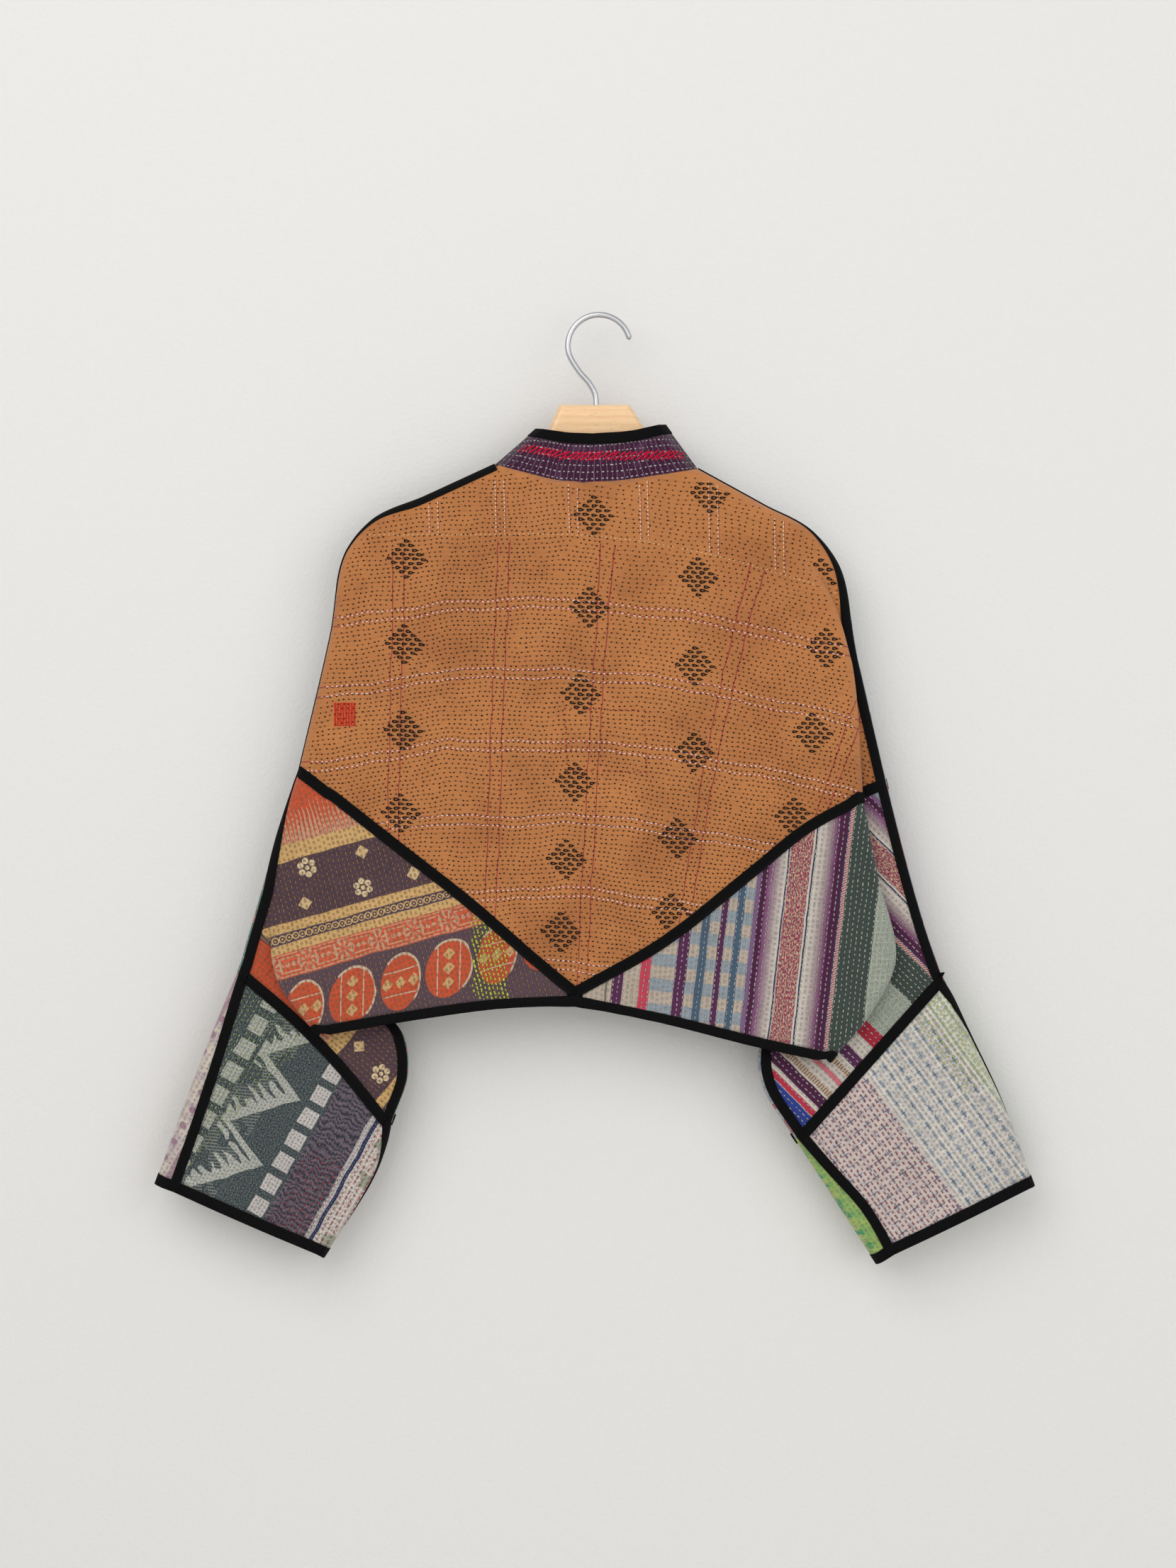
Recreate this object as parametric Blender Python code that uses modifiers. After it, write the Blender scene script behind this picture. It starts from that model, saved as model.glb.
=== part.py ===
"""Cropped kantha jacket with batwing sleeves, hanging flat on a wooden hanger.

Built in metres with +Z up. The back of the jacket faces -Y, and the origin is the inner top of the
hanger's hook, where the hook rests on what holds it. The tables below are in millimetres.

The cloth is worked out from lines that a cutter would know: the neck, the V seam, the hem, the forearm
seam, the silhouette, and the pleat that each side folds into when the sleeve drops beside the body.
Across each row of a panel the wall runs from the centre to the pleat's fold, back in to its hidden
crease, out again to the sleeve's edge, and round that edge to the seam with the front.
"""

import math

import bpy
import numpy as np

MM = 0.001

# Cloth and tape
WALL = 2.4
SEAM_GAP = 0.3
V_SEAM_GAP = 0.8
EDGE_SEAM_GAP = 1.2
COLLAR_GAP = 1.8
TAPE_WIDTH = 11.0
TAPE_WALL = 1.4
TAPE_LIFT = 0.9
END_GAP = 3.4
HEM_TAPE_WALL = 4.8
EDGE_RADIUS = 9.0
TAPE_RADIUS = EDGE_RADIUS + WALL / 2 + TAPE_LIFT + TAPE_WALL / 2
TAPE_OFFSET = WALL / 2 + TAPE_LIFT + TAPE_WALL / 2

# Depth of each layer from the middle plane of the jacket
NECK_DEPTH = 19.0
CENTRE_DEPTH = 23.0
BODY_DEPTH = 27.0
MIDDLE_DEPTH = 18.0
SLEEVE_DEPTH = EDGE_RADIUS
FOLD_RADIUS = 4.5
PLEAT_SPREAD = 20.0
CUFF_BULGE = 4.0

# Soft ripples of the hanging cloth: their depth, their lengths, and where they start below the neck
WAVE_DEPTH = 1.6
RIPPLE_LENGTH = 31.0
DRIFT_LENGTH = 90.0
CROSS_LENGTH = 47.0
RIPPLE_TOP = 190.0
RIPPLE_FADE = 220.0

# How the body's depth falls off across a panel, and how far down the neck's shallower depth reaches
FALL_POWER = 2.4
RIPPLE_POWER = 4
NECK_SHARE = 0.4
NECK_RIPPLE_SHARE = 0.15

# Where, in shares of a region's rows, the seam's angle starts to turn and how long it takes
SHOULDER_TURN = (0.25, 0.33)
LOWER_TURN = 0.5

# The pleat: least overlap, the room kept at each bend, and the step in depth beside each crease
LEAST_OVERLAP = 3.0
BEND_ROOM = 0.5
MIDDLE_SLOPE = 0.6
CREASE_SHARE = 0.3
CREASE_STEP = 1.3

# Grid of the panels
BODY_COLUMNS = 8
SLEEVE_COLUMNS = 4
EDGE_STEPS = 4
LOW_STEPS = 3
YOKE_ROWS = 12
SIDE_ROWS = 8
FOREARM_ROWS = 5
CUFF_ROWS = 5

CENTRE_X = -20.0
V_TIP = (-22.0, -617.5)
HEM_CENTRE = (-22.0, -630.0)
TIP_SHARE = 0.05
FRONT_TIP_SHARE = 0.095
FRONT_SHARE = 0.05
FRONT_HALF_GAP = 1.0

# Points taken along a drawn line, and along each region of the silhouette
LINE_SAMPLES = 40
EDGE_SAMPLES = 30

# Columns of the pleat from its fold to the sleeve's flat, and to just past its hidden crease
PLEAT_COLUMNS = 6
CREASE_COLUMNS = 4

# Tapes: most degrees from strip to strip, the share of each strip, the ends, and the V's nose
MOST_TURN = 24.0
TAPE_SHARES = (1, 0.33, -0.33, -1)
NECK_TRIM = 2.0
END_TRIM = 0.5
HEM_TRIM = TAPE_WIDTH + 1.5
LEAST_SLANT = 0.5
V_NOSE = 60.0
RIDGE_REACH = 5

# Where each named section of the yoke, the side and the forearm lies, from its top row to its last
YOKE_SECTIONS = (0.0, 0.20, 0.36, 0.46, 0.67, 1.0)
SIDE_SECTIONS = (0.0, 0.30, 0.60, 0.80, 1.0)
FOREARM_SECTIONS = (0.0, 0.25, 0.45, 0.70, 1.0)
CUFF_SECTIONS = (0.0, 0.33, 0.67, 1.0)

# Yoke sections: neck point, mid shoulder, shoulder tip, below the tip, upper arm, V seam
# Side sections: V seam, upper side, pleat's top, lower side, hem
SIDES = {
    "left": {
        "sign": -1,
        "back_neck": [(-14, -153), (-40, -150), (-95, -136)],
        "front_neck": [(-31, -213), (-46, -203), (-70, -174), (-95, -136)],
        "yoke_edge": [(-95, -136), (-158, -165), (-208, -188), (-229, -213), (-245, -292), (-274, -416)],
        "yoke_fold": [(-80, -150), (-150, -180), (-195, -200), (-215, -220), (-232, -295), (-252, -425)],
        "yoke_inner": [(-82, -148), (-152, -178), (-197, -198), (-217, -218), (-234, -294), (-254, -424)],
        "yoke_pleat": [0, 0, 0, 0, 0, 0],
        "side_edge": [(-274, -416), (-292, -470), (-315, -548), (-322, -572), (-327, -590)],
        "side_fold": [(-252, -425), (-272, -482), (-303, -556), (-292, -605), (-262, -648)],
        "side_inner": [(-254, -424), (-274, -480), (-306, -560), (-281, -584), (-236, -612)],
        "side_pleat": [0, 0, 0.25, 1, 1],
        "forearm_edge": [(-327, -590), (-328, -593), (-329, -595), (-330, -598), (-331, -601)],
        "underarm": [(-236, -612), (-204, -634), (-182, -655), (-176, -692), (-190, -735)],
        "cuff_edge": [(-331, -601), (-357, -664), (-382, -729), (-406, -794)],
        "cuff_inner": [(-190, -735), (-204, -778), (-227, -820), (-253, -861)],
        "v_seam": [V_TIP, (-46, -598), (-118, -536), (-190, -480), (-262, -424)],
        "hem": [HEM_CENTRE, (-100, -634), (-180, -645), (-262, -659)],
        "forearm_bow": 6.0,
        "top_seam": {"shoulder": 42.0, "yoke": -35.0, "side": 74.0, "cuff": 86.0},
        "low_seam": {"forearm": 60.0, "cuff": -50.0},
    },
    "right": {
        "sign": 1,
        "back_neck": [(-14, -153), (16, -151), (90, -140)],
        "front_neck": [(-7, -213), (14, -204), (54, -177), (90, -140)],
        "yoke_edge": [(90, -140), (150, -173), (196, -199), (217, -226), (237, -315), (263, -428)],
        "yoke_fold": [(76, -155), (135, -188), (182, -214), (211, -242), (229, -318), (239, -440)],
        "yoke_inner": [(74, -153), (133, -186), (180, -212), (207, -242), (222, -318), (226, -440)],
        "yoke_pleat": [0, 0, 0, 0.35, 1, 1],
        "side_edge": [(263, -428), (280, -496), (297, -556), (306, -583), (312, -600)],
        "side_fold": [(239, -440), (252, -510), (268, -590), (246, -636), (216, -672)],
        "side_inner": [(226, -440), (226, -510), (218, -572), (207, -606), (188, -630)],
        "side_pleat": [1, 1, 1, 1, 1],
        "forearm_edge": [(312, -600), (313, -602), (314, -604), (315, -606), (316, -608)],
        "underarm": [(188, -630), (164, -650), (148, -671), (151, -705), (180, -752)],
        "cuff_edge": [(316, -608), (340, -660), (372, -727), (398, -796)],
        "cuff_inner": [(180, -752), (204, -789), (229, -827), (255, -867)],
        "v_seam": [V_TIP, (60, -570), (140, -507), (190, -467), (239, -440)],
        "hem": [HEM_CENTRE, (70, -649), (150, -669), (216, -683)],
        "forearm_bow": 0.0,
        "top_seam": {"shoulder": -25.0, "yoke": 66.0, "side": 66.0, "cuff": -50.0},
        "low_seam": {"forearm": 74.0, "cuff": 86.0},
    },
}

# Collar: the finished upper edge, as x, y and z from the centre back round to the front edge
COLLAR_TOP = {
    "left": [
        [(-6, -17, -108.5), (-30, -15.5, -107), (-50, -10, -104), (-57, 0, -103)],
        [(-57, 0, -103), (-54, 9, -113), (-48, 15, -132), (-40, 18, -148), (-31, 20, -164)],
    ],
    "right": [
        [(-6, -17, -108.5), (32, -15.5, -105), (53, -10, -100), (60, 0, -99)],
        [(60, 0, -99), (56, 9, -112), (44, 15, -132), (20, 18, -150), (-7, 20, -164)],
    ],
}
COLLAR_ROWS = 3

# Hanger
HANGER_THICKNESS = 12.0
HANGER_EDGE = 5.5
BLOCK_OUTLINE = [
    (80, -149),
    (46, -108),
    (39, -98),
    (28, -80),
    (-36, -80),
    (-44, -98),
    (-50, -111),
    (-88, -147),
]
BLOCK_TOP = -80.0
BLOCK_FLOOR = (-2.5, -140.0)
ARM_ROWS = (0.06, 0.34)
ARM_STEPS = 6
ARM_CLEARANCE = WALL / 2 + 1.2
ARM_DEPTH_ROOT = 36.0
ARM_DEPTH_TIP = 20.0
WIRE_RADIUS = 2.7
HOOK_RADIUS = 28.6
HOOK_TIP_ANGLE = 17.0
HOOK_BACK_ANGLE = 192.0
HOOK_NECK = [(-18.9, -48.4), (-8.5, -60.8), (-3.4, -71.0), (-2.6, -80.0), (-2.6, -98.0)]
HOOK_STEP = 12.5
HOOK_BEND_STEPS = 14
HOOK_BLEND = 3
WIRE_RESOLUTION = 3
EDGE_RESOLUTION = 2
WELD_DISTANCE = 0.01
SOCKET_SIDES = 24
SOCKET_RADIUS = WIRE_RADIUS + 0.3
SOCKET_DEPTH = 20.0

COLOURS = {
    "ochre": (0.52, 0.27, 0.10, 0.93),
    "orange": (0.42, 0.12, 0.07, 0.93),
    "stripes": (0.42, 0.34, 0.36, 0.93),
    "teal": (0.16, 0.22, 0.24, 0.93),
    "check": (0.55, 0.55, 0.52, 0.93),
    "plum": (0.13, 0.06, 0.11, 0.93),
    "black": (0.012, 0.012, 0.014, 0.9),
    "green": (0.24, 0.33, 0.28, 0.93),
    "grey": (0.36, 0.38, 0.42, 0.93),
    "cream": (0.52, 0.46, 0.42, 0.93),
    "lime": (0.30, 0.42, 0.16, 0.93),
    "pale_blue": (0.45, 0.50, 0.52, 0.93),
    "mixed": (0.35, 0.33, 0.20, 0.93),
    "beech": (0.62, 0.38, 0.19, 0.5),
    "aluminium": (0.72, 0.73, 0.75, 0.32),
}
PANEL_COLOURS = {
    "back_center": "ochre",
    "front_left": "mixed",
    "front_right": "pale_blue",
    "back_side_left": "orange",
    "back_side_right": "stripes",
    "front_side_left": "green",
    "front_side_right": "grey",
    "back_cuff_left": "teal",
    "back_cuff_right": "check",
    "front_cuff_left": "cream",
    "front_cuff_right": "lime",
}


def clear_scene():
    """Remove every object, so that the script can run again in the same file."""
    for obj in list(bpy.data.objects):
        bpy.data.objects.remove(obj, do_unlink=True)


def material(name):
    """A plain Principled material from the colour table."""
    found = bpy.data.materials.get(name)
    if found:
        return found
    red, green, blue, roughness = COLOURS[name]
    made = bpy.data.materials.new(name)
    made.use_nodes = True
    shader = made.node_tree.nodes["Principled BSDF"]
    shader.inputs["Base Color"].default_value = (red, green, blue, 1.0)
    shader.inputs["Roughness"].default_value = roughness
    shader.inputs["Metallic"].default_value = 1.0 if name == "aluminium" else 0.0
    return made


# Curves and patches


def steps(count, start=0.0, stop=1.0):
    """Evenly spaced values, one more than the count."""
    return np.linspace(start, stop, count + 1)


def through(values, knots, at):
    """A smooth curve through the values at their knots, read at other places."""
    values = np.asarray(values, float)
    knots = np.asarray(knots, float)
    at = np.asarray(at, float)
    slopes = np.gradient(values, knots, axis=0)
    span = np.clip(np.searchsorted(knots, at, side="right") - 1, 0, len(knots) - 2)
    width = knots[span + 1] - knots[span]
    share = (at - knots[span]) / width
    shape = (-1,) + (1,) * (values.ndim - 1)
    share = share.reshape(shape)
    width = width.reshape(shape)
    start = (2 * share**3 - 3 * share**2 + 1) * values[span]
    start += (share**3 - 2 * share**2 + share) * width * slopes[span]
    end = (3 * share**2 - 2 * share**3) * values[span + 1] + (share**3 - share**2) * width * slopes[span + 1]
    return start + end


def along(points, shares):
    """Points at these shares of the length of a smooth curve through the given ones."""
    points = np.asarray(points, float)
    lengths = np.concatenate([[0.0], np.cumsum(np.linalg.norm(np.diff(points, axis=0), axis=1))])
    return through(points, lengths / lengths[-1], shares)


def unit(vectors):
    return vectors / np.linalg.norm(vectors, axis=-1, keepdims=True)


def side_normals(line, sign):
    """Unit normals in the plane, on the right of a line that runs down for sign 1."""
    run = np.gradient(line, axis=0)
    return unit(np.stack([run[:, 1], -run[:, 0]], axis=1) * sign)


def coons(top, bottom, inner, outer):
    """A patch between four curves: top and bottom run outwards, inner and outer run down."""
    rows = steps(len(inner) - 1)[:, None, None]
    columns = steps(len(top) - 1)[None, :, None]
    across = (1 - columns) * inner[:, None] + columns * outer[:, None]
    down = (1 - rows) * top[None] + rows * bottom[None]
    upper = (1 - columns) * top[0] + columns * top[-1]
    lower = (1 - columns) * bottom[0] + columns * bottom[-1]
    return across + down - (1 - rows) * upper - rows * lower


def deep(plane, depth):
    """Joins x and z with a depth towards the back, which lies at -Y."""
    return np.stack([plane[..., 0], -np.broadcast_to(depth, plane.shape[:-1]), plane[..., 1]], axis=-1)


def waves(plane):
    """Soft hanging ripples, a little uneven, strongest in the lower half of the back."""
    x = plane[..., 0]
    z = plane[..., 1]
    drift = 0.6 * np.sin(z / DRIFT_LENGTH)
    hanging = np.sin(x / RIPPLE_LENGTH + drift) * np.clip((-z - RIPPLE_TOP) / RIPPLE_FADE, 0, 1)
    crossing = 0.5 * np.sin((0.8 * x + z) / CROSS_LENGTH)
    return WAVE_DEPTH * (hanging + crossing)


def round_edge(edge, inward, angles, radius=EDGE_RADIUS):
    """Points round an edge: angle 90 is flat on the back, 0 the silhouette and -90 flat on the front."""
    past = np.clip(angles - 90, 0, None) - np.clip(-90 - angles, 0, None)
    turn = np.radians(angles - past)
    inset = EDGE_RADIUS - radius * np.cos(turn) + radius * np.radians(np.abs(past))
    return deep(edge + inward * inset[:, None], radius * np.sin(turn))


def edge_columns(edge, inward, seam, face):
    """Columns from the flat of one face, round the edge, to just short of the seam."""
    flat = 90.0 * face
    stop = seam + face * math.degrees(EDGE_SEAM_GAP / 2 / EDGE_RADIUS)
    angles = [flat + (stop - flat) * step / EDGE_STEPS for step in range(1, EDGE_STEPS + 1)]
    made = [round_edge(edge, inward, angle) for angle in angles]
    return np.stack(made, axis=1)


def moved(points, target, distance):
    """Points moved by a distance along the direction of their targets."""
    return points + unit(target - points) * distance


class Side:
    """One half of the jacket, as grids of points for its yoke, side panel and cuff."""

    def __init__(self, name):
        self.name = name
        self.table = SIDES[name]
        self.sign = self.table["sign"]

    def lines(self, region, sections, rows, names):
        return [through(self.table[region + "_" + name], sections, rows) for name in names]

    def inward(self, region, rows):
        """Unit normals of the whole silhouette, read at the rows of one region."""
        parts = (
            ("yoke", YOKE_SECTIONS, 0.0),
            ("side", SIDE_SECTIONS, 1.0),
            ("forearm", FOREARM_SECTIONS, 2.0),
            ("cuff", CUFF_SECTIONS, 3.0),
        )
        start = {name: begin for name, _, begin in parts}[region]
        fine = steps(EDGE_SAMPLES)
        pieces = [through(self.table[name + "_edge"], marks, fine[:-1]) for name, marks, _ in parts]
        line = np.concatenate(pieces)
        keys = np.concatenate([begin + fine[:-1] for _, _, begin in parts])
        normals = side_normals(line, self.sign)
        found = np.stack([np.interp(start + rows, keys, normals[:, axis]) for axis in (0, 1)], axis=1)
        return unit(found)

    def low_inward(self, region, rows):
        """The same for the sleeve's lower edge, from the hidden crease to the cuff."""
        fine = steps(EDGE_SAMPLES)
        upper = through(self.table["underarm"], FOREARM_SECTIONS, fine[:-1])
        lower = through(self.table["cuff_inner"], CUFF_SECTIONS, fine)
        keys = np.concatenate([fine[:-1], 1 + fine])
        normals = side_normals(np.concatenate([upper, lower]), -self.sign)
        start = 0.0 if region == "forearm" else 1.0
        found = np.stack([np.interp(start + rows, keys, normals[:, axis]) for axis in (0, 1)], axis=1)
        return unit(found)

    def seam(self, region, rows):
        """The angle of the top seam round the silhouette's edge, for each row."""
        table = self.table["top_seam"]
        if region == "yoke":
            begin, length = SHOULDER_TURN
            share = np.clip((rows - begin) / length, 0, 1)
            return table["shoulder"] + (table["yoke"] - table["shoulder"]) * share
        if region == "side":
            return table["yoke"] + (table["side"] - table["yoke"]) * np.clip(rows / LOWER_TURN, 0, 1)
        if region == "forearm":
            return np.full(len(rows), table["side"])
        return table["side"] + (table["cuff"] - table["side"]) * rows

    def low_seam(self, region, rows):
        """The angle of the underarm seam round the sleeve's lower edge."""
        table = self.table["low_seam"]
        if region == "forearm":
            return table["forearm"] * np.clip(rows / LOWER_TURN, 0, 1)
        return table["forearm"] + (table["cuff"] - table["forearm"]) * rows

    def pleat(self, rows, region, sections, edge, inward):
        """The line where the flat of the body ends, and the columns from there to the edge's flat."""
        fold, inner = self.lines(region, sections, rows, ("fold", "inner"))
        opened = np.clip(through(self.table[region + "_pleat"], sections, rows), 0, 1)[:, None]
        inset = edge + inward * EDGE_RADIUS
        flat_start = inset + inward * PLEAT_SPREAD
        fold_out = -side_normals(fold, self.sign)
        inner_out = -side_normals(inner, self.sign)
        overlap = np.clip(((fold - inner) * fold_out).sum(axis=1), LEAST_OVERLAP, None)[:, None]
        bend = np.minimum(FOLD_RADIUS, overlap / 2 - BEND_ROOM)
        folded = [
            (fold, (BODY_DEPTH + MIDDLE_DEPTH) / 2),
            (fold - fold_out * bend, MIDDLE_DEPTH + MIDDLE_SLOPE),
            (inner + inner_out * bend, MIDDLE_DEPTH - MIDDLE_SLOPE),
            (inner, (MIDDLE_DEPTH + SLEEVE_DEPTH) / 2),
            (inner + inner_out * FOLD_RADIUS * CREASE_SHARE, SLEEVE_DEPTH + CREASE_STEP),
            (inner + inner_out * FOLD_RADIUS, SLEEVE_DEPTH),
        ]
        for step in range(1, SLEEVE_COLUMNS):
            share = step / SLEEVE_COLUMNS
            folded.append((folded[5][0] * (1 - share) + inset * share, SLEEVE_DEPTH))
        folded.append((inset, SLEEVE_DEPTH))
        columns = []
        for index, (plane, depth) in enumerate(folded, 1):
            share = index / len(folded)
            level = flat_start * (1 - share) + inset * share
            mixed = plane * opened + level * (1 - opened)
            columns.append(deep(mixed, (depth * opened + SLEEVE_DEPTH * (1 - opened))[:, 0]))
        base = (fold - fold_out * FOLD_RADIUS) * opened + flat_start * (1 - opened)
        return base, np.stack(columns, axis=1), opened[:, 0]

    def yoke(self, face):
        """Rows from the neck to the V seam. Face 1 is the back, and -1 the front."""
        rows = steps(YOKE_ROWS)
        columns = steps(BODY_COLUMNS, 0.0 if face > 0 else FRONT_SHARE)
        (edge,) = self.lines("yoke", YOKE_SECTIONS, rows, ("edge",))
        neck_line = np.array(self.table["back_neck" if face > 0 else "front_neck"], float)
        inward = self.inward("yoke", rows)
        neck_run = unit(neck_line[-2] - neck_line[-1])
        inward[0] = neck_run / (neck_run @ inward[0])
        base, pleat, opened = self.pleat(rows, "yoke", YOKE_SECTIONS, edge, inward)
        neck_line[-1] = base[0]
        v_line = along(self.table["v_seam"], steps(LINE_SAMPLES))
        v_line[-1] = base[-1]
        neck = along(neck_line, steps(BODY_COLUMNS))
        v_seam = along(v_line, columns)
        centre = along([neck[0], v_seam[0]], rows)
        plane = coons(neck, v_seam, centre, base)
        outer = SLEEVE_DEPTH + (BODY_DEPTH - SLEEVE_DEPTH) * opened
        middle = NECK_DEPTH + (CENTRE_DEPTH - NECK_DEPTH) * np.clip(rows / NECK_SHARE, 0, 1)
        body = self.body(plane, columns, middle, outer, np.clip(rows / NECK_RIPPLE_SHARE, 0, 1))
        turn = edge_columns(edge, inward, self.seam("yoke", rows), face)
        return self.facing(body, pleat, turn, face)

    def body(self, plane, columns, middle, outer, fade):
        """The broad part of a panel: deepest near the centre, and the outer depth at the fold or edge."""
        share = columns[None, :] ** FALL_POWER
        depth = middle[:, None] * (1 - share) + outer[:, None] * share
        ripple = waves(plane) * fade[:, None] * (1 - columns[None, :] ** RIPPLE_POWER)
        return deep(plane, depth + ripple)

    def facing(self, body, pleat, turn, face):
        """Joins the columns, with the flat ones turned to the front where the face is -1."""
        flip = np.array([1.0, face, 1.0])
        return np.concatenate([body * flip, pleat * flip, turn], axis=1)

    def side_panel(self, face):
        """Rows from the V seam to the hem's tape, over the whole width of the side panel."""
        rows = steps(SIDE_ROWS)
        columns = steps(BODY_COLUMNS, TIP_SHARE if face > 0 else FRONT_TIP_SHARE)
        (edge,) = self.lines("side", SIDE_SECTIONS, rows, ("edge",))
        inward = self.inward("side", rows)
        base, pleat, opened = self.pleat(rows, "side", SIDE_SECTIONS, edge, inward)
        v_line = along(self.table["v_seam"], steps(LINE_SAMPLES))
        v_line[-1] = base[0]
        v_seam = along(v_line, columns)
        hem_line = along(self.table["hem"], steps(LINE_SAMPLES)) + np.array([0.0, TAPE_WIDTH + SEAM_GAP])
        hem_line[-1] = base[-1]
        hem = along(hem_line, columns)
        tip = along([v_seam[0], hem[0]], rows)
        plane = coons(v_seam, hem, tip, base)
        outer = SLEEVE_DEPTH + (BODY_DEPTH - SLEEVE_DEPTH) * opened
        body = self.body(plane, columns, np.full(len(rows), CENTRE_DEPTH), outer, np.ones(len(rows)))
        turn = edge_columns(edge, inward, self.seam("side", rows), face)
        return self.facing(body, pleat, turn, face)

    def tube(self, region, rows, face):
        """Rows of a sleeve: round the lower edge, across the flat, and round the top edge to its seam."""
        sections = FOREARM_SECTIONS if region == "forearm" else CUFF_SECTIONS
        (edge,) = self.lines(region, sections, rows, ("edge",))
        low = through(self.table["underarm" if region == "forearm" else "cuff_inner"], sections, rows)
        inward = self.inward(region, rows)
        low_inward = self.low_inward(region, rows)
        seam = self.low_seam(region, rows)
        room = EDGE_SEAM_GAP / 2 * (1 + 2 * np.clip(1 - rows / LOWER_TURN, 0, 1) * (region == "forearm"))
        stop = seam + face * np.degrees(room / EDGE_RADIUS)
        flat = 90.0 * face
        bulge = CUFF_BULGE * (rows if region == "cuff" else 0 * rows)
        bow = self.table["forearm_bow"] * (rows if region == "forearm" else 1 - rows)
        flip = np.array([1.0, face, 1.0])
        angles = [stop + (flat - stop) * step / LOW_STEPS for step in range(LOW_STEPS + 1)]
        columns = [round_edge(low, low_inward, angle) for angle in angles]
        first = low + low_inward * EDGE_RADIUS
        last = edge + inward * EDGE_RADIUS
        across = unit(last - first)
        up = np.stack([-across[:, 1], across[:, 0]], axis=1) * self.sign
        for step in range(1, SLEEVE_COLUMNS):
            share = step / (SLEEVE_COLUMNS - 1)
            swell = math.sin(math.pi * share)
            plane = first * (1 - share) + last * share + up * (bow * swell)[:, None]
            columns.append(deep(plane, SLEEVE_DEPTH + bulge * swell) * flip)
        turn = edge_columns(edge, inward, self.seam(region, rows), face)
        return np.concatenate([np.stack(columns, axis=1), turn], axis=1)

    def forearm(self, face):
        rows = steps(FOREARM_ROWS)
        return self.tube("forearm", rows, face)[1:]

    def cuff(self, face):
        """The cuff, cut short by the width of the tape on its hem."""
        grid = self.tube("cuff", steps(CUFF_ROWS), face)
        grid[-1] = moved(grid[-1], grid[-2], TAPE_WIDTH + SEAM_GAP)
        return grid


# Solids


def new_object(name, mesh, colour, collection):
    obj = bpy.data.objects.new(name, mesh)
    collection.objects.link(obj)
    obj.data.materials.append(material(colour))
    return obj


def wall_object(name, points, faces, colour, thickness, collection):
    """An open surface given its thickness to both sides."""
    mesh = bpy.data.meshes.new(name)
    mesh.from_pydata((np.asarray(points) * MM).tolist(), [], faces)
    mesh.shade_smooth()
    obj = new_object(name, mesh, colour, collection)
    solid = obj.modifiers.new("Wall", "SOLIDIFY")
    solid.thickness = thickness * MM
    solid.offset = 0.0
    solid.use_even_offset = True
    return obj


def grid_faces(rows, columns, offset=0, closed=False):
    """Quads between the points of a grid, row after row."""
    faces = []
    for row in range(rows - 1):
        for column in range(columns - 1 + closed):
            a = offset + row * columns + column
            b = offset + row * columns + (column + 1) % columns
            faces.append((a, b, b + columns, a + columns))
    return faces


def grid_object(name, grid, colour, collection, thickness=WALL, closed=False):
    rows, columns = grid.shape[:2]
    faces = grid_faces(rows, columns, closed=closed)
    return wall_object(name, grid.reshape(-1, 3), faces, colour, thickness, collection)


def trimmed(grid, first=0.0, last=0.0):
    """A grid whose first and last rows are drawn in, for the gap at a seam."""
    grid = grid.copy()
    if first:
        grid[0] = moved(grid[0], grid[1], first)
    if last:
        grid[-1] = moved(grid[-1], grid[-2], last)
    return grid


def build_side_panel(name, side, face, collection):
    """Body rows down to the hem, and below it the sleeve's rows beyond the hidden crease."""
    upper = trimmed(side.side_panel(face), first=V_SEAM_GAP / 2)
    lower = trimmed(side.forearm(face), last=SEAM_GAP / 2)
    rows, columns = upper.shape[:2]
    faces = grid_faces(rows, columns)
    sleeve = lower.shape[1]
    start = (rows - 1) * columns + columns - sleeve
    offset = rows * columns
    faces += [(start + k, start + k + 1, offset + k + 1, offset + k) for k in range(sleeve - 1)]
    faces += grid_faces(len(lower), sleeve, offset)
    points = np.concatenate([upper.reshape(-1, 3), lower.reshape(-1, 3)])
    return wall_object(name, points, faces, PANEL_COLOURS[name], WALL, collection)


def build_panels(sides, collection):
    back = [trimmed(sides[name].yoke(1), last=V_SEAM_GAP / 2) for name in ("left", "right")]
    whole = np.concatenate([back[0][:, :0:-1], back[1]], axis=1)
    grid_object("back_center", whole, PANEL_COLOURS["back_center"], collection)
    for name, side in sides.items():
        front = trimmed(side.yoke(-1), last=V_SEAM_GAP / 2)
        grid_object("front_" + name, front, PANEL_COLOURS["front_" + name], collection)
        for face, word in ((1, "back"), (-1, "front")):
            build_side_panel(f"{word}_side_{name}", side, face, collection)
            cuff = trimmed(side.cuff(face), first=SEAM_GAP / 2)
            panel = f"{word}_cuff_{name}"
            grid_object(panel, cuff, PANEL_COLOURS[panel], collection)


# Tapes and collar


def row_tape(side, face, row, before, half_width):
    """A strip lying on both sides of a seam: its upper and lower lines, raised off the cloth."""
    down = unit(row - before)
    run = unit(np.gradient(row, axis=0))
    outward = unit(np.cross(run, -down)) * side.sign * face
    slant = np.linalg.norm(np.cross(run, down), axis=1)
    reach = (half_width / np.clip(slant, LEAST_SLANT, 1))[:, None]
    raised = row + outward * TAPE_OFFSET
    return raised - down * reach, raised + down * reach


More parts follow.
